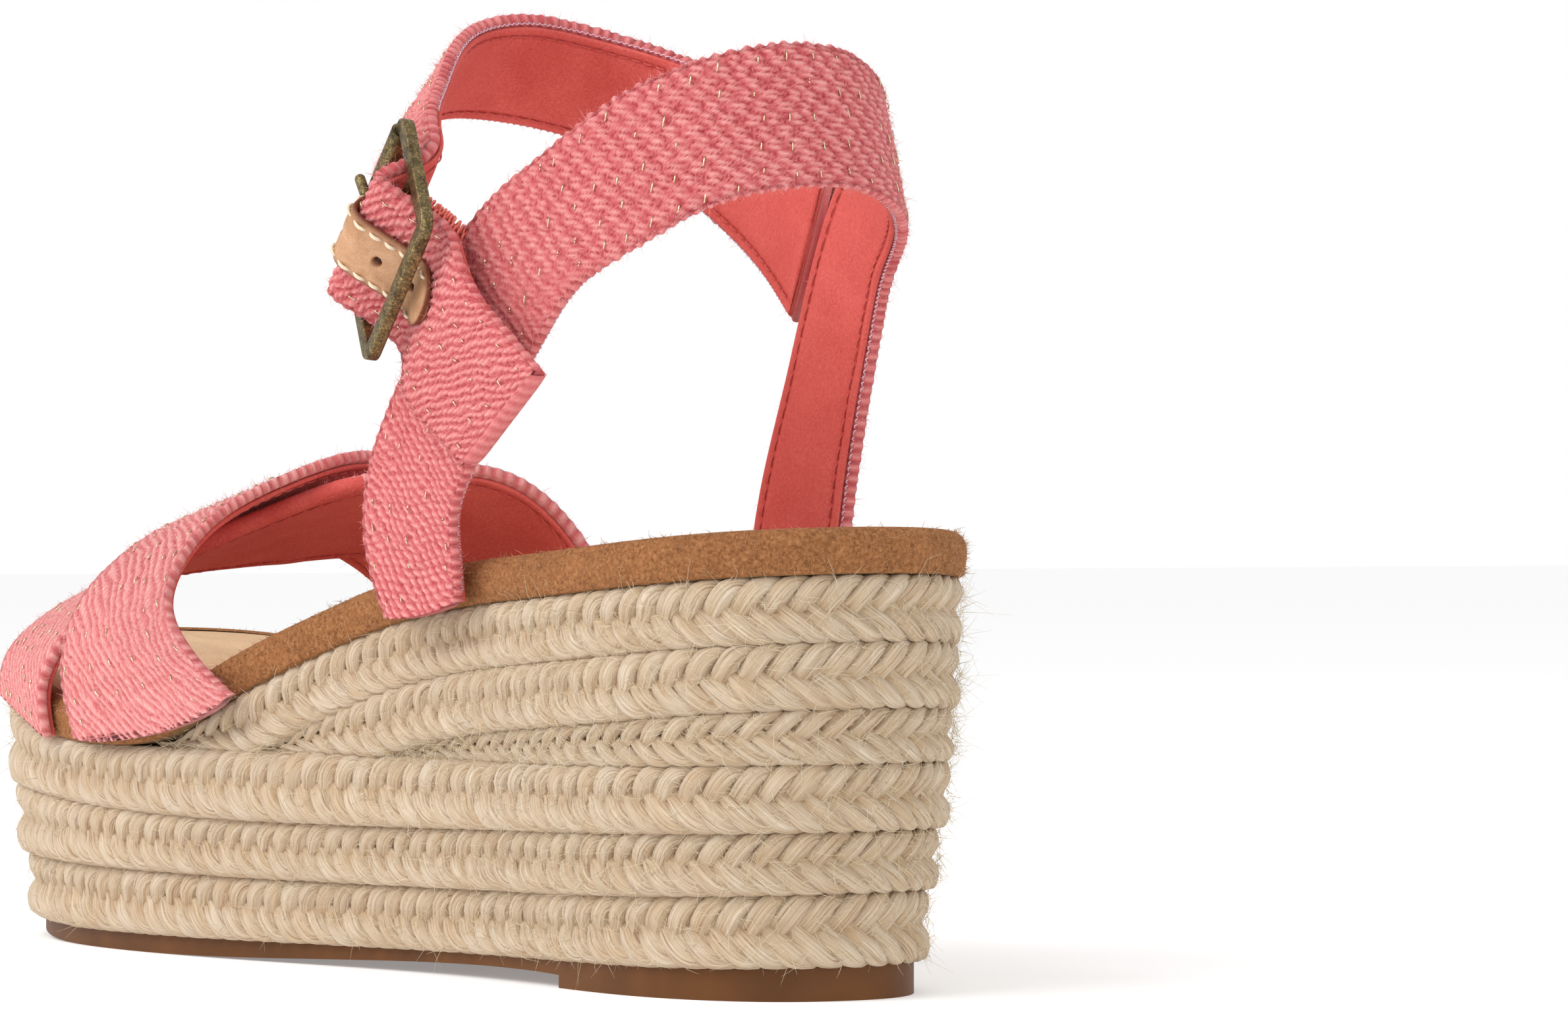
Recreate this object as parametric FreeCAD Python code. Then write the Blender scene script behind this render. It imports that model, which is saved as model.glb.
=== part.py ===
import FreeCAD, Part
import os
from math import pi

os.makedirs("parts", exist_ok=True)

# Left wedge sandal, millimetres.  Toe towards -X, heel +X, outer side of the
# foot -Y, inner side +Y.  The ground is Z = 0.

V = FreeCAD.Vector
GAP = 0.2                     # glue line between neighbouring sole layers
FOOTBED_THICK = 7.0
BOARD_THICK = 1.5
SUEDE_THICK = 1.2
SOCK_THICK = 1.0
ROPE_DEPTH = 8.0              # how far a braid reaches in from the sole's edge
ROPE_HEIGHT = 9.8             # pitch of the three braids wrapped round the heel
HEEL_STEP_X = 67.0            # front of the thicker heel pad of the outsole

WEBBING = 1.9
LINING = 0.8
PLY_GAP = 0.1                 # between the webbing and its lining
STRAP_WIDTH = 24.0
TAB_THICK = 1.3

BAR_R = 1.1                   # buckle frame, round bar
CENTRE_BAR_R = 1.0
PIN_PLAY = 0.08               # radial play of roller, prong and elastic
ROLLER_WALL = 0.55
BUCKLE_LONG = 28.0            # between the axes of the short sides
BUCKLE_SHORT = 23.3           # between the axes of the two long bars
PRONG_R = 0.85

# Outline of the footbed seen from above, from the middle of the heel round the
# outer side to the toe and back along the inner side.
FOOT = [(121.5, 0), (113, -20), (92, -30), (60, -30.5), (20, -33), (-20, -41),
        (-55, -44), (-90, -37), (-112, -20), (-121.5, 5), (-115, 26), (-95, 38),
        (-62, 43.5), (-25, 41), (20, 31), (60, 29.5), (92, 29.5), (113, 20)]

# Heights along the sole, as (x, z).
FOOTBED_BASE = [(-135, 47), (-110, 43.6), (-95, 41), (-75, 37), (-58, 34.7), (-43, 34.2),
                (-29, 35.6), (-12, 42.0), (5, 48.2), (25, 54.2), (50, 58.2), (69, 59.6),
                (90, 61.2), (108, 62.7), (135, 64.4)]
WEDGE_TOP = [(-60, 21), (-45, 27.5), (-29, 34.3), (-12, 41.6), (5, 48.2), (25, 54.2),
             (50, 58.2), (69, 59.6), (90, 61.2), (108, 62.7), (135, 64.4)]
PLATFORM_TOP = [(-135, 47), (-110, 43.6), (-95, 41), (-75, 37), (-58, 34.7), (-43, 34.2),
                (0, 34.2), (60, 34.3), (135, 36)]
UPPER_GROOVE = [(-135, 29), (-95, 27), (-43, 24), (60, 24), (135, 26)]
LOWER_GROOVE = [(-135, 19), (-95, 15.5), (-43, 14), (60, 14.5), (135, 17)]
ROPE_BASE = [(-135, 9.5), (-95, 5.6), (-43, 4.5), (60, 5.5), (135, 6.8)]
GROUND_LINE = [(-135, 7.5), (-110, 3.4), (-80, 0.5), (-55, 0), (-20, 0.3), (20, 1.6),
               (HEEL_STEP_X, 2.0)]


def lift(level, dz):
    """The same height line moved up by dz."""
    return [(x, z + dz) for x, z in level]


def line_through(level):
    """Smooth curve through (x, z) points, in the plane Y = 0."""
    curve = Part.BSplineCurve()
    curve.interpolate(Points=[V(x, 0, z) for x, z in level])
    return curve.toShape()


def outline(toe_in, heel_in):
    """Closed outline of the foot, moved inwards by toe_in at the toe and heel_in at the heel."""
    points = []
    count = len(FOOT)
    for i in range(count):
        x, y = FOOT[i]
        before = FOOT[i - 1]
        after = FOOT[(i + 1) % count]
        tangent = V(after[0] - before[0], after[1] - before[1], 0).normalize()
        inward = V(tangent.y, -tangent.x, 0)
        share = (x + 121.5) / 243.0
        points.append(V(x, y, 0) + inward * (toe_in + (heel_in - toe_in) * share))
    curve = Part.BSplineCurve()
    curve.interpolate(Points=points, PeriodicFlag=True)
    return Part.Face(Part.Wire(curve.toShape()))


def column(toe_in, heel_in):
    """The outline as an upright block."""
    return outline(toe_in, heel_in).extrude(V(0, 0, 90))


def band(low, high):
    """Everything between two height lines, right across the sandal."""
    bottom = line_through(low)
    top = line_through(high)
    ends = [Part.makeLine(V(low[0][0], 0, low[0][1]), V(high[0][0], 0, high[0][1])),
            Part.makeLine(V(low[-1][0], 0, low[-1][1]), V(high[-1][0], 0, high[-1][1]))]
    wire = Part.Wire(Part.__sortEdges__([bottom, top] + ends))
    side = Part.Face(wire)
    side.translate(V(0, -70, 0))
    return side.extrude(V(0, 140, 0))


def whole(shape):
    """The shape as one plain solid."""
    return shape.Solids[0] if len(shape.Solids) == 1 else Part.makeCompound(shape.Solids)


# --- straps ---------------------------------------------------------------

def edge_samples(points, count):
    """Points at even parameter steps on a smooth curve through the given ones."""
    curve = Part.BSplineCurve()
    curve.interpolate(Points=[V(*p) for p in points])
    first = curve.FirstParameter
    last = curve.LastParameter
    return [curve.value(first + (last - first) * i / (count - 1)) for i in range(count)]


def strap_grid(stations, count):
    """Sampled edges and outward normals of a strap given as (front edge, rear edge) pairs."""
    front = edge_samples([s[0] for s in stations], count)
    rear = edge_samples([s[1] for s in stations], count)
    rows = []
    for i in range(count):
        before = max(i - 1, 0)
        after = min(i + 1, count - 1)
        along = (front[after] + rear[after]) - (front[before] + rear[before])
        across = rear[i] - front[i]
        rows.append((front[i], rear[i], across.cross(along).normalize()))
    return rows


def ribbon(rows, top, thick, left=0.0, right=1.0):
    """Closed solid between two offsets of a strap's outer face.

    top is the offset of the outer side, positive outwards.  left and right are
    the shares of the width that the ribbon covers.
    """
    shares = [left, (left + right) / 2.0, right]

    def skin(offset):
        grid = [[f + (r - f) * s + n * offset for s in shares] for f, r, n in rows]
        surface = Part.BSplineSurface()
        surface.interpolate(grid)
        return surface

    outer = skin(top)
    inner = skin(top - thick)
    faces = [outer.toShape(), inner.toShape()]
    u0, u1, v0, v1 = outer.bounds()
    for iso in (lambda s: s.uIso(u0), lambda s: s.uIso(u1), lambda s: s.vIso(v0),
                lambda s: s.vIso(v1)):
        faces.append(Part.makeRuledSurface(iso(outer).toShape(), iso(inner).toShape(), 1))
    shell = Part.makeShell(faces)
    shell.sewShape()
    solid = Part.makeSolid(shell)
    if solid.Volume < 0:
        solid.reverse()
    return solid


def layers(rows):
    """Webbing and, inside it, the lining."""
    webbing = ribbon(rows, 0.0, WEBBING)
    lining = ribbon(rows, -WEBBING - PLY_GAP, LINING, 0.03, 0.97)
    return webbing, lining


# The outer face of each strap, as (front or upper edge, rear or lower edge).

# Toe strap that lies on top: rear of the outer side to the front of the inner side.
OVER_STRAP = [((-48, -46.9, 35.3), (-5, -42.0, 43.2)), ((-52, -47.4, 47), (-14, -44.6, 50)),
              ((-50, -46.2, 56), (-22, -44.2, 57.5)), ((-48, -40.5, 64), (-29, -36.5, 67.5)),
              ((-53, -30.5, 69), (-33, -27, 74)), ((-60, -18, 72), (-37, -14, 79)),
              ((-67, -5, 72), (-42, 2, 83)), ((-74, 8, 70.5), (-49, 15, 82)),
              ((-79, 20, 67), (-55.5, 27, 77)), ((-82.5, 32, 60.5), (-60, 38, 67.5)),
              ((-86, 40.5, 51), (-61.5, 45.5, 54)), ((-87, 43.2, 43), (-60, 47.0, 37.2))]

# Toe strap underneath: front of the outer side to the rear of the inner side.
UNDER_STRAP = [((-85, -42.4, 42), (-60, -46.8, 35.3)), ((-86.3, -40.5, 48), (-61.5, -46.9, 43.5)),
               ((-84.5, -36.5, 53.5), (-59, -44.3, 51.5)), ((-81, -29, 59), (-56, -38, 58.5)),
               ((-77, -20, 63), (-51, -28.5, 65.2)), ((-73, -9, 65), (-45, -16, 71)),
               ((-68.5, 2, 66), (-38.5, -4, 75.5)), ((-64, 13, 67), (-32.5, 6, 78.5)),
               ((-59.5, 23, 67), (-28, 17, 80)), ((-54, 32, 65.5), (-25, 27, 77.1)),
               ((-51, 38.8, 62), (-24.5, 36.5, 70)), ((-48, 44.5, 54), (-22, 43.4, 58)),
               ((-46, 46.8, 46), (-14, 44.8, 48.5)), ((-45, 47.0, 36.2), (-8, 42.9, 43.6))]

# Heel strap: outer side of the wedge, round behind the ankle, inner side.
HEEL_STRAP = [((35.9, -36.2, 56.3), (54.4, -34.8, 59.0)), ((29.7, -36.4, 68.6), (54.6, -35.6, 66.8)),
              ((30.7, -36.6, 77.5), (55.4, -36.2, 72.8)), ((36, -36.8, 86.5), (60, -36.4, 79)),
              ((47.5, -36.4, 101), (68, -36, 88.5)), ((58.7, -34.9, 116.3), (76.3, -34.6, 97.3)),
              ((73.3, -32.2, 125.6), (82.9, -31.6, 106.4)),
              ((87.5, -25.8, 134.9), (93.2, -25.2, 113.6)),
              ((97, -16.4, 140.4), (101.4, -15.7, 119.7)),
              ((101.8, -5.5, 142.9), (105.5, -5.5, 121.9)),
              ((101.6, 6.1, 142.2), (105, 7.5, 121.9)), ((97.5, 14.3, 139.6), (100.7, 16.3, 119.9)),
              ((88.5, 22.5, 135.6), (92.3, 24, 117.5)), ((75, 28.9, 130.5), (84.2, 29.2, 114.5)),
              ((62.8, 32.3, 122.8), (77, 31.8, 109.5)), ((54, 33.4, 109.5), (72, 33.2, 102)),
              ((46.5, 34.1, 94), (67.5, 33.7, 90)), ((38.5, 34.6, 77), (63, 34.2, 76)),
              ((34, 34.8, 61.6), (60, 34.4, 62.6))]

# Buckle: middle, direction of its long bars (downwards and forwards) and the
# direction in which the strap leaves it (downwards and backwards).
BUCKLE_MIDDLE = V(44.6, -40.5, 114.8)
BAR_DIR = V(-20, 1.9, -19.5).normalize()
STRAP_DIR = V(15.5, -5.5, -16.5)
STRAP_DIR = (STRAP_DIR - BAR_DIR * STRAP_DIR.dot(BAR_DIR)).normalize()
OUT_DIR = BAR_DIR.cross(STRAP_DIR)

OVER_CENTRE = 6.3             # outer face of the webbing above the centre bar
UNDER_BAR = -3.4              # and under the two long bars
UNDER_ROLLER = -4.0


def at_buckle(along, out):
    """Strap station at a distance along the strap and out of the buckle's middle."""
    middle = BUCKLE_MIDDLE + STRAP_DIR * along + OUT_DIR * out
    half = BAR_DIR * (STRAP_WIDTH / 2.0)
    return (tuple(middle - half), tuple(middle + half))


# Ankle strap: inner side of the heel strap, round the front, through the buckle.
ANKLE_STRAP = [((60, 33.0, 126.5), (48.6, 33.6, 103.6)), ((48, 33.8, 134.5), (38.5, 35, 111)),
               ((35, 33.0, 141), (26, 35, 119)), ((24, 29.3, 146), (13, 31.5, 127.5)),
               ((16, 22, 150), (1, 24.5, 134.5)), ((12.5, 12.5, 152.6), (-5, 14, 138)),
               ((12.5, 3.5, 153.4), (-5.8, 4, 139)), ((14, -4.8, 152.2), (-3.5, -4.5, 138.4)),
               ((18.5, -12.3, 149.4), (0.5, -12.3, 135.6)),
               ((25.5, -19.2, 145), (6.5, -20, 130.2)), ((35, -27, 139.3), (16, -27.6, 123.2)),
               at_buckle(-BUCKLE_SHORT / 2.0 - 2.5, UNDER_ROLLER - 0.4),
               at_buckle(-BUCKLE_SHORT / 2.0 + 1.2, UNDER_ROLLER),
               at_buckle(0.0, OVER_CENTRE),
               at_buckle(BUCKLE_SHORT / 2.0 - 1.2, UNDER_BAR - 0.2),
               at_buckle(BUCKLE_SHORT / 2.0 + 2.0, UNDER_BAR - 0.6),
               ((67.0, -41.0, 108.4), (49.4, -41.2, 92.2))]
TAIL = [((68.3, -41.0, 107.1), (50.7, -41.2, 91.0)), ((76.6, -40.4, 100.4), (58.2, -41.0, 85.2)),
        ((85.5, -39.4, 93.8), (66.1, -40.4, 79.8))]

SAMPLES = 61
TAB_FROM = 41                 # samples of the ankle strap that the leather tab covers
TAB_TO = 60


# --- sole -----------------------------------------------------------------

parts = {}

platform_block = band([(-135, -5), (0, -5), (135, -5)], lift(PLATFORM_TOP, GAP))

core_top = lift(FOOTBED_BASE, -GAP)
parts["sole_core"] = column(ROPE_DEPTH + 1.0, ROPE_DEPTH + 7.0).common(
    band(lift(ROPE_BASE, GAP), core_top))

step_block = Part.makeBox(80, 140, 20, V(HEEL_STEP_X, -70, -10))
low_front = band(GROUND_LINE, lift(GROUND_LINE[:-1], 20) + [(HEEL_STEP_X, 22)])
heel_block = Part.makeBox(80, 140, 20, V(HEEL_STEP_X, -70, 0))
tread = column(5.5, 8.0)
under_rope = band([(-135, -5), (0, -5), (135, -5)], lift(ROPE_BASE, -GAP))
outsole = tread.common(under_rope).common(low_front.fuse(heel_block))
parts["outsole"] = outsole.removeSplitter()

# (name, lower line, upper line, inset at toe, inset at heel)
PLATFORM_ROWS = [("platform_braid_upper", UPPER_GROOVE, PLATFORM_TOP, -1.2, 2.0),
                 ("platform_braid_middle", LOWER_GROOVE, UPPER_GROOVE, 0.0, 3.6),
                 ("platform_braid_lower", ROPE_BASE, LOWER_GROOVE, 2.0, 5.4)]
for name, low, high, toe_in, heel_in in PLATFORM_ROWS:
    ring = column(toe_in, heel_in).cut(column(ROPE_DEPTH + 0.8, ROPE_DEPTH + 6.8))
    parts[name] = ring.common(band(lift(low, GAP / 2), lift(high, -GAP / 2)))

WEDGE_ROWS = [("wedge_braid_upper", 0, 0.0), ("wedge_braid_middle", 1, 0.4),
              ("wedge_braid_lower", 2, 1.0)]
for name, row, heel_in in WEDGE_ROWS:
    ring = column(0.0, heel_in).cut(column(ROPE_DEPTH + 0.8, ROPE_DEPTH + 6.8))
    high = lift(WEDGE_TOP, -row * ROPE_HEIGHT - GAP / 2)
    low = lift(WEDGE_TOP, -(row + 1) * ROPE_HEIGHT + GAP / 2)
    if row == 2:
        low = lift(WEDGE_TOP, -40)
    parts[name] = ring.common(band(low, high)).cut(platform_block)

footbed_top = lift(FOOTBED_BASE, FOOTBED_THICK)
footbed_block = column(0.3, 0.3).common(band(lift(FOOTBED_BASE, GAP / 2), footbed_top))
inside = column(0.3 + SUEDE_THICK, 0.3 + SUEDE_THICK)
parts["footbed_edge_wrap"] = footbed_block.cut(inside)
filling = column(0.4 + SUEDE_THICK, 0.4 + SUEDE_THICK)
board_top = lift(FOOTBED_BASE, BOARD_THICK)
sock_base = lift(FOOTBED_BASE, FOOTBED_THICK - SOCK_THICK)
parts["insole_board"] = filling.common(band(lift(FOOTBED_BASE, GAP / 2), board_top))
parts["footbed_foam"] = filling.common(band(lift(board_top, GAP / 2), lift(sock_base, -GAP / 2)))
parts["sock_lining"] = filling.common(band(sock_base, footbed_top))

# --- straps ---------------------------------------------------------------

for name, stations in (("toe_strap_over", OVER_STRAP), ("toe_strap_under", UNDER_STRAP),
                       ("heel_strap", HEEL_STRAP)):
    webbing, lining = layers(strap_grid(stations, SAMPLES))
    parts[name + "_webbing"] = webbing
    parts[name + "_lining"] = lining

ankle_rows = strap_grid(ANKLE_STRAP, SAMPLES)
tail_rows = strap_grid(TAIL, 9)
tail_webbing, tail_lining = layers(tail_rows)
parts["strap_tail_webbing"] = tail_webbing
parts["strap_tail_lining"] = tail_lining

# Slot for the prong, from the centre bar towards the roller.  It ends further
# back in the lower layers, where the lifted prong leans over the centre bar.
SLOT_FROM = -7.4
TAB_SLOT_TO = -0.4
WEBBING_SLOT_TO = 0.8
LINING_SLOT_TO = 1.6
SLOT_WIDTH = 3.4


def buckle_box(along, across, out, size_along, size_across, size_out):
    """Box in the buckle's own directions, with its low corner at the given place."""
    box = Part.makeBox(size_across, size_along, size_out)
    turn = FreeCAD.Matrix(BAR_DIR.x, STRAP_DIR.x, OUT_DIR.x, 0,
                          BAR_DIR.y, STRAP_DIR.y, OUT_DIR.y, 0,
                          BAR_DIR.z, STRAP_DIR.z, OUT_DIR.z, 0,
                          0, 0, 0, 1)
    box = box.transformGeometry(turn)
    box.translate(BUCKLE_MIDDLE + STRAP_DIR * along + BAR_DIR * across + OUT_DIR * out)
    return box


def slot(end):
    """Room for the prong, open from below the strap to above it."""
    return buckle_box(SLOT_FROM, -SLOT_WIDTH / 2, -4.0, end - SLOT_FROM, SLOT_WIDTH, 14.0)


def slotted(layer, end):
    """Strap layer with the slot cut in a short length of its own, so its large faces stay plain."""
    by_buckle = buckle_box(-12.0, -20.0, -9.0, 18.0, 40.0, 20.0)
    length = layer.common(by_buckle).cut(slot(end))
    return layer.cut(by_buckle).fuse(length)


webbing, lining = layers(ankle_rows)
parts["ankle_strap_webbing"] = slotted(webbing, WEBBING_SLOT_TO)
parts["ankle_strap_lining"] = slotted(lining, LINING_SLOT_TO)
tab = ribbon(ankle_rows[TAB_FROM:TAB_TO], 0.1 + TAB_THICK, TAB_THICK, 0.28, 0.72)
parts["hole_tab"] = tab.cut(slot(TAB_SLOT_TO))

# --- buckle ---------------------------------------------------------------


def at(along, across, out=0.0):
    """Point in the buckle's own directions."""
    return BUCKLE_MIDDLE + STRAP_DIR * along + BAR_DIR * across + OUT_DIR * out


def bar(radius, along, start, end):
    """Round bar parallel to the long sides of the buckle."""
    return Part.makeCylinder(radius, end - start, at(along, start), BAR_DIR)


half_long = BUCKLE_LONG / 2.0
half_short = BUCKLE_SHORT / 2.0
frame = bar(BAR_R, half_short, -half_long, half_long)
frame = frame.fuse(bar(BAR_R, -half_short, -half_long, half_long))
frame = frame.fuse(bar(CENTRE_BAR_R, 0.0, -half_long, half_long))
for side in (-half_long, half_long):
    frame = frame.fuse(Part.makeCylinder(BAR_R, BUCKLE_SHORT, at(-half_short, side), STRAP_DIR))
    for end in (-half_short, half_short):
        frame = frame.fuse(Part.makeSphere(BAR_R, at(end, side)))
parts["buckle_frame"] = frame.removeSplitter()

roller_half = half_long - BAR_R - 0.6
roller_r = BAR_R + PIN_PLAY + ROLLER_WALL
parts["roller"] = bar(roller_r, -half_short, -roller_half, roller_half).cut(
    bar(BAR_R + PIN_PLAY, -half_short, -roller_half - 1, roller_half + 1))

eye_half = 1.5
eye_r = CENTRE_BAR_R + PIN_PLAY + 0.85
root = at(0, 0, CENTRE_BAR_R + PIN_PLAY + 0.3)
tip = at(-half_short - 1.6, 0, roller_r + PRONG_R + 0.25)
prong = Part.makeCylinder(PRONG_R, tip.distanceToPoint(root), root, tip - root)
prong = prong.fuse(Part.makeSphere(PRONG_R, tip)).fuse(bar(eye_r, 0.0, -eye_half, eye_half))
parts["prong"] = prong.cut(bar(CENTRE_BAR_R + PIN_PLAY, 0.0, -half_long, half_long))

# Elastic: folded round the centre bar on each side of the prong, then back
# under the front edge of the heel strap.
ELASTIC_THICK = 1.2
ELASTIC_HALF = 9.0
loop_r = CENTRE_BAR_R + PIN_PLAY + ELASTIC_THICK
loop = bar(loop_r, 0.0, -ELASTIC_HALF, ELASTIC_HALF)
leg = [(at(1.0, -ELASTIC_HALF, -1.6), at(1.0, ELASTIC_HALF, -1.6)),
       (at(6.0, -ELASTIC_HALF, -6.2), at(6.0, ELASTIC_HALF, -6.2)),
       (V(58, -31.7, 112), V(47, -31.7, 97)), (V(63, -31.5, 107), V(51.5, -31.7, 92.5))]
leg_rows = strap_grid([(tuple(a), tuple(b)) for a, b in leg], 13)
elastic = loop.fuse(ribbon(leg_rows, 0.0, ELASTIC_THICK))
elastic = elastic.cut(bar(CENTRE_BAR_R + PIN_PLAY, 0.0, -half_long, half_long))
parts["elastic_loop"] = elastic.cut(buckle_box(-4, -2.1, -3.2, 8, 4.2, 8))

# The origin is moved to the middle of the whole sandal, at ground level.
ORIGIN_X = -0.6
ORIGIN_Y = -1.5

for name, shape in parts.items():
    shape.translate(V(-ORIGIN_X, -ORIGIN_Y, 0))
    whole(shape).exportStep("parts/" + name + ".step")
    print(name, round(shape.Volume), len(shape.Solids), shape.isValid())

extent = Part.makeCompound(list(parts.values())).BoundBox
print("bounds", extent)
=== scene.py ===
import bpy
import numpy as np
from mathutils import Matrix, Vector


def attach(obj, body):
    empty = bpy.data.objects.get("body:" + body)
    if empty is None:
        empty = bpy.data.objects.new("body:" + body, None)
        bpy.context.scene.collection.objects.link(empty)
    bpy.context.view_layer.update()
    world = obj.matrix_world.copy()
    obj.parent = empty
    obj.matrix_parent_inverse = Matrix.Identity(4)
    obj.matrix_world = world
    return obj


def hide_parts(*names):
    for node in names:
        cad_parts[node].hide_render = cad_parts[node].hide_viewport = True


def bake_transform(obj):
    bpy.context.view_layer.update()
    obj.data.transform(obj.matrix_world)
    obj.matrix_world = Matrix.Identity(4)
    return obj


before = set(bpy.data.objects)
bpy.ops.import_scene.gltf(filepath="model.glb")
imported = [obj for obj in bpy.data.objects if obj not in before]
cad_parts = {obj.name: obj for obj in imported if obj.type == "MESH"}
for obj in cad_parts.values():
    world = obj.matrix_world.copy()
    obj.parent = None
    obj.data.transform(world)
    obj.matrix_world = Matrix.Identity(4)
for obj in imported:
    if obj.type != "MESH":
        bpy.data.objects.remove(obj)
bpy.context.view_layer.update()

# Working numbers are millimetres in the sandal's own layout: toe -X, heel +X,
# outer side -Y.  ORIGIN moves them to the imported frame, where they are metres.
MM = 0.001
ORIGIN = np.array([0.6, 1.5, 0.0])
TAU = 2.0 * np.pi
SANDAL = "sandal"


# --- lines and surfaces ----------------------------------------------------

def natural_spline(t, points, at):
    """Natural cubic spline through points at parameters t, evaluated at the places in at."""
    t = np.asarray(t, float)
    y = np.asarray(points, float)
    if y.ndim == 1:
        y = y[:, None]
    n = len(t)
    h = np.diff(t)
    a = np.eye(n)
    rhs = np.zeros_like(y)
    for i in range(1, n - 1):
        a[i, i - 1:i + 2] = h[i - 1], 2 * (h[i - 1] + h[i]), h[i]
        rhs[i] = 6 * ((y[i + 1] - y[i]) / h[i] - (y[i] - y[i - 1]) / h[i - 1])
    m = np.linalg.solve(a, rhs)
    k = np.clip(np.searchsorted(t, at) - 1, 0, n - 2)
    left = (t[k + 1] - at)[:, None]
    right = (at - t[k])[:, None]
    step = h[k][:, None]
    curve = (m[k] * left ** 3 + m[k + 1] * right ** 3) / (6 * step)
    curve += (y[k] / step - m[k] * step / 6) * left + (y[k + 1] / step - m[k + 1] * step / 6) * right
    return curve


def lengths(points):
    """Distance along a row of points, starting at 0."""
    return np.concatenate([[0.0], np.cumsum(np.linalg.norm(np.diff(points, axis=0), axis=1))])


def evenly(points, step):
    """The same line with its points a fixed distance apart."""
    s = lengths(points)
    count = max(int(round(s[-1] / step)), 4) + 1
    at = np.linspace(0, s[-1], count)
    return np.stack([np.interp(at, s, points[:, i]) for i in range(points.shape[1])], 1)


def height(line, x):
    """Height of a (x, z) line at the places x."""
    line = np.asarray(line, float)
    return natural_spline(line[:, 0], line[:, 1], np.asarray(x, float))[:, 0]


def unit(v):
    """The same directions with length 1."""
    return v / np.maximum(np.linalg.norm(v, axis=-1, keepdims=True), 1e-12)


def tangents(line, closed):
    """Directions along a line at each of its points."""
    if closed:
        return unit(np.roll(line, -1, 0) - np.roll(line, 1, 0))
    return unit(np.gradient(line, axis=0))


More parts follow.
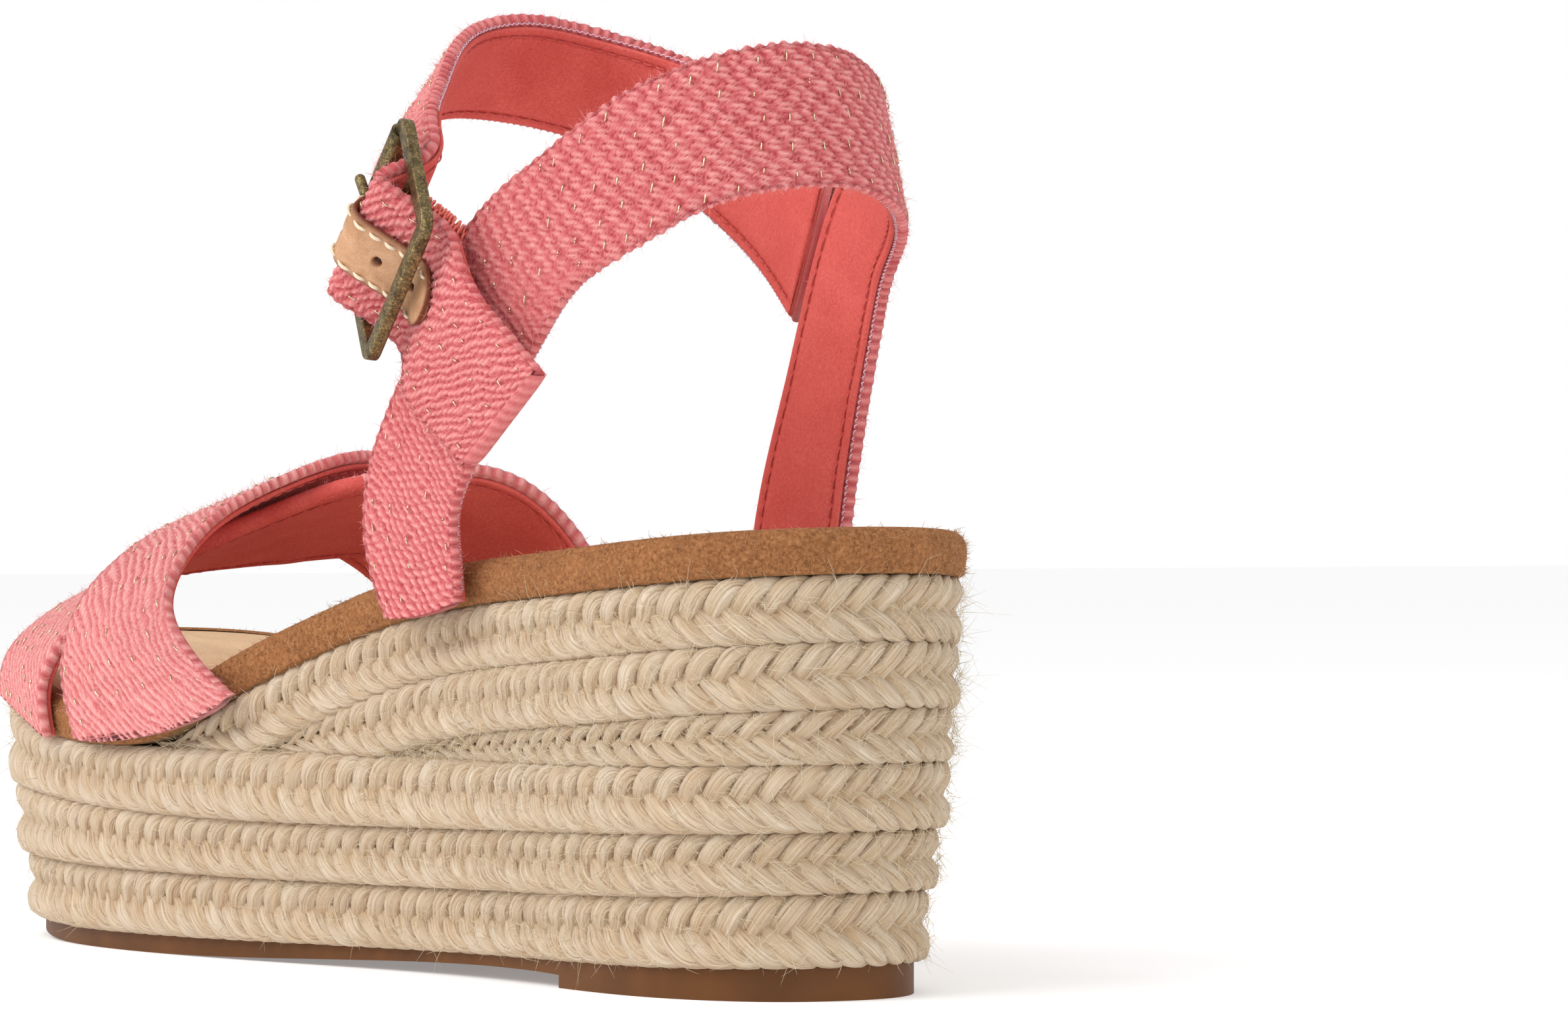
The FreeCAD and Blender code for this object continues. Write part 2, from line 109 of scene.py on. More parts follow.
class Build:
    """Collects grids of points and turns them into one mesh with a UV map and a relief attribute.

    Relief runs from 0 deep in a pattern to 1 on top of it, and the materials colour by it: the jute and the
    webbing with painted shade in its hollows, the webbing also with a painted highlight on its tops, and
    the leather with painted shade in its holes.
    """

    def __init__(self):
        self.verts, self.quads, self.quad_uv = [], [], []
        self.tris, self.tri_uv, self.relief = [], [], []
        self.count = 0

    def grid(self, points, wrap_u=False, wrap_v=False, caps=False, uv=(1.0, 1.0), origin=(0.0, 0.0),
             relief=None, uv_at=None, skip=None, about=None, facing=1.0):
        """Faces over a grid of points, closed along u or v where asked, ends closed by fans.

        uv_at gives each point's own UV; skip marks the cells that are left open.  The faces are
        turned away from the point about, the middle of the grid if none is given, or towards it
        where facing is -1: the sign of the volume that they enclose with it tells which they do.
        """
        first = len(self.tris)
        nu, nv = points.shape[:2]
        base = self.count
        self.verts.append(points.reshape(-1, 3))
        self.relief.append(np.zeros(nu * nv) if relief is None
                           else np.broadcast_to(relief, (nu, nv)).reshape(-1))
        u, v = np.meshgrid(np.arange(nu if wrap_u else nu - 1), np.arange(nv if wrap_v else nv - 1),
                           indexing="ij")
        u, v = u.ravel(), v.ravel()
        u2, v2 = (u + 1) % nu, (v + 1) % nv
        cells = np.stack([u * nv + v, u2 * nv + v, u2 * nv + v2, u * nv + v2], 1)
        if uv_at is None:
            fu = np.stack([u, u + 1, u + 1, u], 1) / (nu if wrap_u else nu - 1)
            fv = np.stack([v, v, v + 1, v + 1], 1) / (nv if wrap_v else nv - 1)
            cell_uv = np.stack([fu * uv[0] + origin[0], fv * uv[1] + origin[1]], -1)
        else:
            cell_uv = uv_at.reshape(-1, 2)[cells]
        if skip is not None:
            keep = ~skip[u, v]
            cells, cell_uv = cells[keep], cell_uv[keep]
        self.quads.append(base + cells)
        self.quad_uv.append(cell_uv)
        self.count += nu * nv
        if caps:
            for row, turn in ((0, False), (nu - 1, True)):
                self.verts.append(points[row].mean(0)[None])
                self.relief.append(np.zeros(1))
                hub = self.count
                self.count += 1
                j = np.arange(nv if wrap_v else nv - 1)
                j2 = (j + 1) % nv
                a, b = (base + row * nv + j, base + row * nv + j2)
                tri = np.stack([np.full(len(j), hub), b, a] if turn
                               else [np.full(len(j), hub), a, b], 1)
                self.tris.append(tri)
                at = np.array([origin[0] + (uv[0] if turn else 0.0), origin[1]])
                self.tri_uv.append(np.broadcast_to(at, (len(j), 3, 2)))
        rel = points.reshape(-1, 3) - (points.reshape(-1, 3).mean(0) if about is None else about)
        a, b, c, d = (rel[cells[:, i]] for i in range(4))
        volume = (a * (np.cross(b, c) + np.cross(c, d))).sum()
        if volume * facing < 0:
            self.quads[-1], self.quad_uv[-1] = self.quads[-1][:, ::-1], self.quad_uv[-1][:, ::-1]
            for i in range(first, len(self.tris)):
                self.tris[i], self.tri_uv[i] = self.tris[i][:, ::-1], self.tri_uv[i][:, ::-1]

    def piece(self, name, material, body=SANDAL, replaces=(), slot=None):
        """The finished object; body is None for a piece that is attached to no body."""
        verts = (np.concatenate(self.verts) + ORIGIN) * MM
        quads = np.concatenate(self.quads)
        tris = np.concatenate(self.tris) if self.tris else np.zeros((0, 3), int)
        uv = np.concatenate([np.concatenate(self.quad_uv).reshape(-1, 2)]
                            + ([np.concatenate(self.tri_uv).reshape(-1, 2)] if self.tris else []))
        mesh = bpy.data.meshes.new(name)
        mesh.vertices.add(len(verts))
        mesh.vertices.foreach_set("co", verts.astype(np.float32).ravel())
        mesh.loops.add(quads.size + tris.size)
        mesh.loops.foreach_set("vertex_index",
                               np.concatenate([quads.ravel(), tris.ravel()]).astype(np.int32))
        mesh.polygons.add(len(quads) + len(tris))
        starts = np.concatenate([np.arange(len(quads)) * 4, quads.size + np.arange(len(tris)) * 3])
        mesh.polygons.foreach_set("loop_start", starts.astype(np.int32))
        layer = mesh.uv_layers.new(name="UVMap")
        layer.data.foreach_set("uv", uv.astype(np.float32).ravel())
        relief = mesh.attributes.new("relief", "FLOAT", "POINT")
        relief.data.foreach_set("value", np.concatenate(self.relief).astype(np.float32))
        mesh.update(calc_edges=True)
        mesh.polygons.foreach_set("use_smooth", np.ones(len(mesh.polygons), bool))
        mesh.materials.append(material)
        obj = bpy.data.objects.new(name, mesh)
        bpy.context.scene.collection.objects.link(obj)
        if body:
            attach(obj, body)
        if replaces:
            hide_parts(*replaces)
        return obj


def tube(build, path, radius, sides):
    """Round tube of a given radius (one number or one per point) along a path, closed at its ends."""
    tangent = tangents(path, False)
    across = np.cross(tangent, (0.0, 0.0, 1.0))
    side = np.where(np.linalg.norm(across, axis=1, keepdims=True) < 1e-3, np.array([[1.0, 0, 0]]),
                    unit(across))
    other = np.cross(side, tangent)
    angle = np.arange(sides) * TAU / sides
    ring = side[:, None] * np.cos(angle)[None, :, None] + other[:, None] * np.sin(angle)[None, :, None]
    r = np.broadcast_to(np.asarray(radius, float), (len(path),))[:, None, None]
    build.grid(path[:, None] + ring * r, wrap_v=True, caps=True, uv=(lengths(path)[-1] / 10.0, 1.0))


# --- the shape of the sole, as in the CAD ------------------------------------

FOOT = [(121.5, 0), (113, -20), (92, -30), (60, -30.5), (20, -33), (-20, -41),
        (-55, -44), (-90, -37), (-112, -20), (-121.5, 5), (-115, 26), (-95, 38),
        (-62, 43.5), (-25, 41), (20, 31), (60, 29.5), (92, 29.5), (113, 20)]
HALF_LENGTH = 121.5
FOOTBED_BASE = [(-135, 47), (-110, 43.6), (-95, 41), (-75, 37), (-58, 34.7), (-43, 34.2),
                (-29, 35.6), (-12, 42.0), (5, 48.2), (25, 54.2), (50, 58.2), (69, 59.6),
                (90, 61.2), (108, 62.7), (135, 64.4)]
WEDGE_TOP = [(-60, 21), (-45, 27.5), (-29, 34.3), (-12, 41.6), (5, 48.2), (25, 54.2),
             (50, 58.2), (69, 59.6), (90, 61.2), (108, 62.7), (135, 64.4)]
PLATFORM_TOP = [(-135, 47), (-110, 43.6), (-95, 41), (-75, 37), (-58, 34.7), (-43, 34.2),
                (0, 34.2), (60, 34.3), (135, 36)]
UPPER_GROOVE = [(-135, 29), (-95, 27), (-43, 24), (60, 24), (135, 26)]
LOWER_GROOVE = [(-135, 19), (-95, 15.5), (-43, 14), (60, 14.5), (135, 17)]
ROPE_BASE = [(-135, 9.5), (-95, 5.6), (-43, 4.5), (60, 5.5), (135, 6.8)]
ROPE_HEIGHT = 9.8
FOOTBED_THICK = 7.0


def foot_outline(toe_in, heel_in, count=1600):
    """Closed outline moved inwards, toe_in at the toe and heel_in at the heel, with outward normals.

    It runs from the heel along the inner side to the toe and back along the outer side.
    """
    keys = np.array(FOOT, float)
    tangent = tangents(keys, True)
    inward = np.stack([tangent[:, 1], -tangent[:, 0]], 1)
    share = (keys[:, 0] + HALF_LENGTH) / (2 * HALF_LENGTH)
    keys = keys + inward * (toe_in + (heel_in - toe_in) * share)[:, None]
    wide = np.concatenate([keys[-5:], keys, keys[:6]])
    t = lengths(wide)
    line = natural_spline(t, wide, np.linspace(t[5], t[5 + len(keys)], count + 1))[:-1]
    line = evenly(np.concatenate([line[::-1], line[-1:]]), 0.3)[:-1]
    forward = tangents(line, True)
    return line, np.stack([forward[:, 1], -forward[:, 0]], 1)


# --- straps, as in the CAD ---------------------------------------------------

OVER_STRAP = [((-48, -46.9, 35.3), (-5, -42.0, 43.2)), ((-52, -47.4, 47), (-14, -44.6, 50)),
              ((-50, -46.2, 56), (-22, -44.2, 57.5)), ((-48, -40.5, 64), (-29, -36.5, 67.5)),
              ((-53, -30.5, 69), (-33, -27, 74)), ((-60, -18, 72), (-37, -14, 79)),
              ((-67, -5, 72), (-42, 2, 83)), ((-74, 8, 70.5), (-49, 15, 82)),
              ((-79, 20, 67), (-55.5, 27, 77)), ((-82.5, 32, 60.5), (-61.5, 38, 67.5)),
              ((-86, 40.5, 51), (-63.5, 45.5, 54)), ((-87, 43.2, 43), (-60, 47.0, 37.2))]
UNDER_STRAP = [((-85, -42.4, 42), (-60, -46.8, 35.3)), ((-86.3, -40.5, 48), (-61.5, -46.9, 43.5)),
               ((-84.5, -36.5, 53.5), (-59, -44.3, 51.5)), ((-81, -29, 59), (-56, -38, 58.7)),
               ((-77, -20, 63), (-51, -28.7, 65.9)), ((-73, -9, 65), (-45, -16.2, 72.2)),
               ((-68.5, 2, 66), (-38.5, -4, 77.6)), ((-64, 13, 67), (-32.5, 6, 80.3)),
               ((-59.5, 23, 67), (-28, 17, 81)), ((-54, 32, 65.5), (-25, 27, 77.9)),
               ((-49.5, 38.8, 62), (-24.5, 36.5, 70)), ((-45.5, 44.5, 54), (-22, 43.4, 58)),
               ((-46, 46.8, 46), (-14, 44.8, 48.5)), ((-45, 47.0, 36.2), (-8, 42.9, 43.6))]
HEEL_STRAP = [((35.9, -36.2, 56.3), (54.4, -34.8, 59.0)), ((29.7, -36.4, 68.6), (54.6, -35.6, 66.8)),
              ((30.7, -36.6, 77.5), (55.4, -36.2, 72.8)), ((36, -36.8, 86.5), (60, -36.4, 79)),
              ((47.5, -36.4, 101), (68, -36, 88.5)), ((58.7, -34.9, 116.3), (76.3, -34.6, 97.3)),
              ((73.3, -32.2, 125.6), (82.9, -31.6, 106.4)),
              ((87.5, -25.8, 134.9), (93.2, -25.2, 113.6)),
              ((97, -16.4, 140.4), (101.4, -15.7, 119.7)),
              ((101.8, -5.5, 142.9), (105.5, -5.5, 121.9)),
              ((101.6, 6.1, 142.2), (105, 7.5, 121.9)), ((97.5, 14.3, 139.6), (100.7, 16.3, 119.9)),
              ((88.5, 22.5, 135.6), (92.3, 24, 117.5)), ((75, 28.9, 130.5), (84.2, 29.2, 114.5)),
              ((62.8, 32.3, 122.8), (77, 31.8, 109.5)), ((54, 33.4, 109.5), (72, 33.2, 102)),
              ((46.5, 34.1, 94), (67.5, 33.7, 90)), ((38.5, 34.6, 77), (63, 34.2, 76)),
              ((34, 34.8, 61.6), (60, 34.4, 62.6))]

BUCKLE_MIDDLE = np.array([44.6, -40.5, 114.8])
BAR_DIR = unit(np.array([-20, 1.9, -19.5]))
STRAP_DIR = np.array([15.5, -5.5, -16.5])
STRAP_DIR = unit(STRAP_DIR - BAR_DIR * STRAP_DIR.dot(BAR_DIR))
OUT_DIR = np.cross(BAR_DIR, STRAP_DIR)
STRAP_WIDTH = 24.0
BUCKLE_SHORT = 23.3
WEBBING = 1.9
LINING = 0.8
PLY_GAP = 0.1
CREST_OUT = 6.3               # how far the ankle strap rises over the centre bar


def at(along, across, out=0.0):
    """Point in the buckle's own directions."""
    return BUCKLE_MIDDLE + STRAP_DIR * along + BAR_DIR * across + OUT_DIR * out


def at_buckle(along, out):
    """Strap station at a distance along the strap and out of the buckle's middle."""
    return at(along, -STRAP_WIDTH / 2, out), at(along, STRAP_WIDTH / 2, out)


ANKLE_STRAP = [((60, 33.0, 126.5), (48.6, 33.6, 103.6)), ((48, 33.8, 134.5), (38.5, 35, 111)),
               ((35, 33.0, 141), (26, 35, 119)), ((24, 29.3, 146), (13, 31.5, 127.5)),
               ((16, 22, 150), (1, 24.5, 134.5)), ((12.5, 12.5, 152.6), (-5, 14, 138)),
               ((12.5, 3.5, 153.4), (-5.8, 4, 139)), ((14, -4.8, 152.2), (-3.5, -4.5, 138.4)),
               ((18.5, -12.3, 149.4), (0.5, -12.3, 135.6)),
               ((25.5, -19.2, 145), (6.5, -20, 130.2)), ((35, -27, 139.3), (16, -27.6, 123.2)),
               at_buckle(-BUCKLE_SHORT / 2 - 2.5, -4.4), at_buckle(-BUCKLE_SHORT / 2 + 1.2, -4.0),
               at_buckle(0.0, CREST_OUT),
               at_buckle(BUCKLE_SHORT / 2 - 1.2, -3.6), at_buckle(BUCKLE_SHORT / 2 + 2.0, -4.0),
               ((67.2, -41.0, 108.2), (49.6, -41.2, 92.0)),
               ((76.6, -40.4, 100.4), (58.2, -41.0, 85.2)),
               ((85.5, -39.4, 93.8), (66.1, -40.4, 79.8))]


# A strap's front and rear edge: where it lies across the width, and the way outwards there.
EDGES = ((0.0, -1.0), (1.0, 1.0))


class Strap:
    """A strap's outer face: its two edges and outward normal at even steps along it."""

    def __init__(self, stations, step=0.3):
        front = np.array([s[0] for s in stations], float)
        rear = np.array([s[1] for s in stations], float)
        t = lengths((front + rear) / 2)
        dense = np.linspace(0, t[-1], 1500)
        both = np.concatenate([natural_spline(t, front, dense), natural_spline(t, rear, dense)], 1)
        s = lengths((both[:, :3] + both[:, 3:]) / 2)
        self.length = s[-1]
        self.count = int(self.length / step)
        even = np.linspace(0, s[-1], self.count)
        both = np.stack([np.interp(even, s, both[:, i]) for i in range(6)], 1)
        self.front, self.rear = both[:, :3], both[:, 3:]
        across = self.rear - self.front
        along = np.gradient(self.front + self.rear, axis=0)
        self.normal = unit(np.cross(across, along))
        self.width = np.linalg.norm(across, axis=1)
        self.across = unit(across)

    def at(self, u, v, off):
        """Points at distances u along, shares v of the width from the front edge, off outwards."""
        k = np.clip(np.asarray(u, float) / self.length * (self.count - 1), 0, self.count - 1.001)
        i = k.astype(int)
        w = (k - i)[..., None]
        front = self.front[i] * (1 - w) + self.front[i + 1] * w
        rear = self.rear[i] * (1 - w) + self.rear[i + 1] * w
        normal = self.normal[i] * (1 - w) + self.normal[i + 1] * w
        return front + (rear - front) * np.asarray(v)[..., None] + normal * np.asarray(off)[..., None]

    def station(self, u):
        """Which of the strap's steps lies at or just before a distance u."""
        return np.clip(u / self.length * (self.count - 1), 0, self.count - 1).astype(int)


def wobble(x, y, seed, scale=9.0):
    """Slow, seeded unevenness between -1 and 1, a sum of a few slanted sine waves."""
    rng = np.random.default_rng(seed)
    total = np.zeros(np.broadcast(x, y).shape)
    for _ in range(5):
        angle, phase, size = rng.uniform(0, TAU), rng.uniform(0, TAU), rng.uniform(0.6, 1.6) * scale
        total = total + np.sin((x * np.cos(angle) + y * np.sin(angle)) * TAU / size + phase)
    return total / 3.0


WALL = [(15, -36.5), (40, -36.5), (60, -36.3), (76, -34.8), (90, -26), (99.5, -16), (104, -5.5),
        (103.5, 7), (99, 15), (90, 23), (80, 29), (60, 34), (40, 35), (15, 35)]
WALL_MIDDLE_X = 55.0
STRAIGHT_ROWS = [(50, 0.0), (92, 35.0), (108, 53.0), (165, 116.0)]


def round_heel(points):
    """Distance round the heel, by the direction of a point seen from above the heel's middle."""
    keys = np.array(WALL, float)
    t = lengths(keys)
    line = natural_spline(t, keys, np.linspace(0, t[-1], 400))
    facing = np.arctan2(line[:, 1], line[:, 0] - WALL_MIDDLE_X)
    return np.interp(np.arctan2(points[..., 1], points[..., 0] - WALL_MIDDLE_X), facing, lengths(line))


CELL = 0.3                    # mesh size on the webbing
PLAIN = 2.3                   # length of a plain weave's repeat along a yarn
BASKET = 3.6                  # and of a basket weave's
BASKET_FROM = 98.0            # height above the ground where the heel strap's basket weave begins
BASKET_OVER = 14.0            # height over which it takes over
ON_TOP = 0.78                 # share of its repeat for which a yarn floats on top
SLANT = 1.5                   # how far a float leans from one side of its yarn to the other
RELIEF = 0.55                 # how far the weave stands up
FACE_LEVEL = 0.75             # height in the weave that lies on the strap's own face
SELVEDGE = 1.3                # strip along each edge where the face rounds down
SCALLOP = 2.1                 # length of one turn of the weft along the edge
TWIST = np.radians(38)        # slant of the fibres in a yarn


def weave_height(p, q, seed, repeat, together):
    """Height from 0 to 1 of a weave: yarns float along p, and dive under once in every repeat.

    q counts yarns, and together is how many float side by side: 1 for plain, 2 for basket weave.
    Each yarn is a round ridge, and each float swells from where it dives under to its middle.  The
    floats lie slanted in their rows, as spun yarn does.
    """
    q = q + 0.30 * wobble(p, q, seed, 11.0) + 0.10 * wobble(p, q, seed + 11, 2.7)
    p = p + 0.55 * wobble(p, q, seed + 1, 7.0) + 0.30 * wobble(p, q, seed + 2, 2.6)
    row = np.floor(q)
    pair = np.floor(row / together)
    p = p + SLANT * (q - row - 0.5)
    ridge = np.sqrt(np.maximum(0.0, 1 - 0.86 * (2 * (q - row) - 1) ** 2))
    jitter = np.sin(row * 12.9898 + seed) * 0.13
    phase = np.mod(p / repeat + 0.5 * np.mod(pair, 2) + jitter, 1.0)
    swell = np.where(phase < ON_TOP, np.sin(np.pi * np.clip(phase / ON_TOP, 0, 1)) ** 0.5, 0.0)
    gap = np.clip((phase - ON_TOP) / (1 - ON_TOP), 0, 1)
    crossing = 0.55 * np.abs(np.sin(TAU * gap)) * (phase >= ON_TOP)
    return np.maximum(swell * ridge, crossing * (0.6 + 0.4 * ridge))


def snapped(values, targets):
    """The same samples, with the nearest one moved onto each target."""
    values = values.copy()
    for target in targets:
        values[np.argmin(np.abs(values - target))] = target
    return values


def open_cells(u, v, hole):
    """Marks the cells of a closed section's grid that lie in a slot."""
    mid_u, mid_v = (u[:-1] + u[1:]) / 2, (v + np.roll(v, -1)) / 2
    return (((mid_u > hole[0]) & (mid_u < hole[1]))[:, None]
            & ((mid_v > hole[2]) & (mid_v < hole[3]))[None])


def slot_rim(build, strap, hole, top, bottom):
    """Inside walls of a slot through a layer: its rectangle at four depths."""
    u0, u1, v0, v1 = hole
    t = np.arange(12) / 12
    u = np.concatenate([u0 + (u1 - u0) * t, np.full(12, u1), u1 + (u0 - u1) * t, np.full(12, u0)])
    v = np.concatenate([np.full(12, v0), v0 + (v1 - v0) * t, np.full(12, v1), v1 + (v0 - v1) * t])
    rows = [strap.at(u, v, np.full(48, off)) for off in np.linspace(top, bottom, 4)]
    # Relief 0.3 paints the slot's walls darker than the face, as painted shade.
    build.grid(np.stack(rows, 1), wrap_u=True, uv=(2, 0.3), relief=0.3, facing=-1.0)


def folded_end(build, strap):
    """The cut end turned under: a half-round strip over both layers, with a ridge for each yarn."""
    deep = (WEBBING + PLY_GAP + LINING + 0.5) / 2
    v, turn = np.meshgrid(np.linspace(0.035, 0.965, 80), np.linspace(0, np.pi, 16), indexing="ij")
    ridges = np.cos(v * TAU * 11)
    past = np.sin(turn) * 1.2 * (1 + 0.08 * ridges) * (1 - 0.9 * np.abs(2 * v - 1) ** 10)
    strip = strap.at(np.full_like(turn, strap.length) - 0.2, v,
                     0.12 - deep + deep * np.cos(turn) + 0.08 * ridges * np.sin(turn))
    both = strap.front + strap.rear
    # Its relief gives painted shade between the yarn ridges and a painted highlight on their crests.
    build.grid(strip + unit(both[-1] - both[-8]) * past[..., None], uv=(2.4, 0.4),
               relief=0.62 + 0.15 * ridges)


def weave_of(kind, row, seed, uu, x, base):
    """Weave height over a strap, and the places p along its floats and q across them.

    kind tells how the floats run: across the strap, along it, or level with the ground.  row is the
    width of a yarn.
    """
    if kind == "level":
        levels = np.array(STRAIGHT_ROWS)
        p, q = round_heel(base), np.interp(base[..., 2], levels[:, 0], levels[:, 1])
    elif kind == "along":
        p, q = uu, x / row
    else:
        p, q = x, uu / row
    weave = weave_height(p, q, seed, PLAIN, 1)
    if kind == "level":
        # Small plain weave near the sole turns into the open basket weave round the heel.
        above = base[..., 2] + 4 * wobble(p, q, seed + 7, 22.0) - BASKET_FROM
        weave = weave + (weave_height(p, q, seed, BASKET, 2) - weave) * np.clip(above / BASKET_OVER, 0, 1)
    return weave, p, q


def webbing(name, strap, material, body, replaces, seed, kind="across", row=1.0, hole=None, fold=False,
            tuck=0.0):
    """Woven strap: the weave on the outer face, scalloped rolled edges and a plain inner face.

    The section goes round the outer face, the rear edge, the inner face and the front edge.  tuck
    is how far the strap's start is drawn down in a rounded line where it goes under the footbed.
    """
    nu, nv = int(strap.length / CELL), int(strap.width.mean() / CELL)
    u = np.linspace(0, strap.length, nu)
    share = np.linspace(0, 1, nv)
    back = np.linspace(1, 0, 12)
    if hole:
        u = snapped(u, hole[:2])
        share, back = snapped(share, hole[2:]), snapped(back, hole[2:])
    width = np.interp(u / strap.length * (strap.count - 1), np.arange(strap.count), strap.width)
    roll = np.linspace(0, 1, 7)[1:-1]
    half = WEBBING / 2
    v = np.concatenate([share, np.ones(5), back, np.zeros(5)])
    off = np.concatenate([np.zeros(nv), -half + half * np.cos(np.pi * roll), np.full(12, -WEBBING),
                          -half - half * np.cos(np.pi * roll)])
    push = np.concatenate([np.zeros(nv), np.sin(np.pi * roll), np.zeros(12), -np.sin(np.pi * roll)])
    outer = np.concatenate([np.ones(nv), np.zeros(22)])
    uu, vv = np.meshgrid(u, v, indexing="ij")
    x = vv * width[:, None]
    weave, p, q = weave_of(kind, row, seed, uu, x, strap.at(uu, vv, np.zeros_like(uu)))
    edge = np.clip(np.minimum(x, width[:, None] - x) / SELVEDGE, 0, 1)
    lift = RELIEF * (weave - FACE_LEVEL) * (0.6 + 0.4 * edge) * outer
    lift = lift - 0.55 * (1 - edge) ** 2 * outer
    lift = lift + 0.22 * wobble(uu, x, seed + 3, 26.0) * outer * edge
    # The selvedge bulges out where the weft turns back.
    turn = 0.45 + 0.32 * np.cos(uu * TAU / SCALLOP + 1.5 * wobble(uu, vv * 0, seed + 4, 9.0)) \
        + 0.15 * wobble(uu, vv * 0, seed + 5, 6.0)
    points = strap.at(uu, vv + push[None] * turn / width[:, None], off[None] + lift)
    both = strap.front + strap.rear
    points = points + unit(both[0] - both[12]) * (tuck * np.sin(np.pi * np.clip(vv, 0, 1)) ** 0.6
                                                  * np.exp(-(uu / 6.0) ** 2))[..., None]
    build = Build()
    if hole:
        slot_rim(build, strap, hole, 0.1, -WEBBING)
    across = q * row
    uv_at = np.stack([p * np.cos(TWIST) + across * np.sin(TWIST),
                      across * np.cos(TWIST) - p * np.sin(TWIST)], -1) / 10
    # Relief for the webbing's painted shade and highlight: the weave's own height on the outer face, and on
    # the edges a value that rises and falls with the scallops.
    build.grid(points, wrap_v=True, caps=True, uv_at=uv_at, skip=open_cells(u, v, hole) if hole else None,
               relief=np.where(outer[None] > 0, weave, 0.55 + 0.3 * np.cos(uu * TAU / SCALLOP)))
    if fold:
        folded_end(build, strap)
    return build.piece(name, material, body, replaces, "webbing")


SEAM_IN = 2.3                 # seam's distance from a strap's edge
STITCH_PITCH = 2.6
STITCH_LONG = 2.0
BACKING_TOP = -WEBBING - PLY_GAP
BACKING_FACE = BACKING_TOP - LINING


def turned_edge(build, strap, start, end, width, seed):
    """Backing turned over the rear edge: an arc from its inner face to the webbing's outer face."""
    along, turn = np.meshgrid(np.linspace(start, end, int((end - start) / 0.6)),
                              np.linspace(-0.1, np.pi, 14), indexing="ij")
    deep = (WEBBING + PLY_GAP + LINING + 0.3) / 2
    fade = np.clip(np.minimum(along - start, end - along) / 5.0, 0.0, 1.0) ** 0.5
    reach = 1.45 + 0.08 * wobble(along, turn, seed + 9, 7.0)
    share = 1 + (np.sin(turn) * reach - 0.25) * fade / width
    build.grid(strap.at(along, share, 0.1 - deep + deep * np.cos(turn) * (0.75 + 0.25 * fade)),
               uv=((end - start) / 10, 0.5), relief=0.1)


def lining(name, strap, body, replaces, seed, hole=None, bound=None):
    """Thin microsuede backing with soft edges, and a slight quilting pull along its two seams.

    Between the two lengths of bound, it is turned over the strap's rear edge.
    """
    inset, columns = 0.035, 30
    u = np.linspace(0, strap.length, int(strap.length / 0.9))
    share = np.linspace(inset, 1 - inset, columns)
    if hole:
        u, share = snapped(u, hole[:2]), snapped(share, hole[2:])
    roll = np.linspace(0, 1, 6)[1:-1]
    half = LINING / 2
    v = np.concatenate([share, np.full(4, 1 - inset), share[::-1], np.full(4, inset)])
    off = np.concatenate([np.full(columns, BACKING_TOP), BACKING_TOP - half + half * np.cos(np.pi * roll),
                          np.full(columns, BACKING_FACE), BACKING_TOP - half - half * np.cos(np.pi * roll)])
    push = np.concatenate([np.zeros(columns), np.sin(np.pi * roll),
                           np.zeros(columns), -np.sin(np.pi * roll)])
    inner = np.concatenate([np.zeros(columns + 4), np.ones(columns), np.zeros(4)])
    uu, vv = np.meshgrid(u, v, indexing="ij")
    width = strap.width.mean()
    x = vv * width
    seam = np.exp(-((np.minimum(x, width - x) - SEAM_IN) / 0.6) ** 2)
    lift = inner * (0.28 * seam * (0.7 + 0.3 * np.cos(uu * TAU / STITCH_PITCH))
                    + 0.10 * wobble(uu, x, seed, 14.0))
    points = strap.at(uu, vv + push[None] * 0.35 / width, off[None] + lift)
    build = Build()
    if bound:
        turned_edge(build, strap, *bound, width, seed)
    if hole:
        slot_rim(build, strap, hole, BACKING_TOP, BACKING_FACE)
    build.grid(points, wrap_v=True, caps=True, uv=(strap.length / 10, 2 * width / 10), relief=seam,
               skip=open_cells(u, v, hole) if hole else None)
    return build.piece(name, CORAL, body, replaces, "strap_lining")


def stitch_row(build, strap, start, end, share, off, radius=0.16, pitch=STITCH_PITCH, long=STITCH_LONG):
    """Short raised threads in a line along a strap, each a low arch away from the strap's middle."""
    total = end - start
    count = max(int(total / pitch), 1)
    arch = np.sin(np.pi * np.linspace(0.0, 1.0, 5)) * radius * 1.3 - radius * 0.6
    side = 1.0 if off > 0 else -1.0
    for i in range(count):
        first = (i + 0.5) / count - 0.5 * long / total
        t = np.linspace(first, first + long / total, 5)
        path = strap.at(start + total * t, np.full(5, share), off + side * arch)
        tube(build, path, radius * np.array([0.6, 1, 1, 1, 0.6]), 5)


# --- material helpers ---------------------------------------------------------

def hexa(code):
    """Linear RGBA of an sRGB colour written as six hex digits."""
    rgb = np.array([int(code[i:i + 2], 16) for i in (0, 2, 4)]) / 255.0
    rgb = np.where(rgb <= 0.04045, rgb / 12.92, ((rgb + 0.055) / 1.055) ** 2.4)
    return (*rgb.tolist(), 1.0)


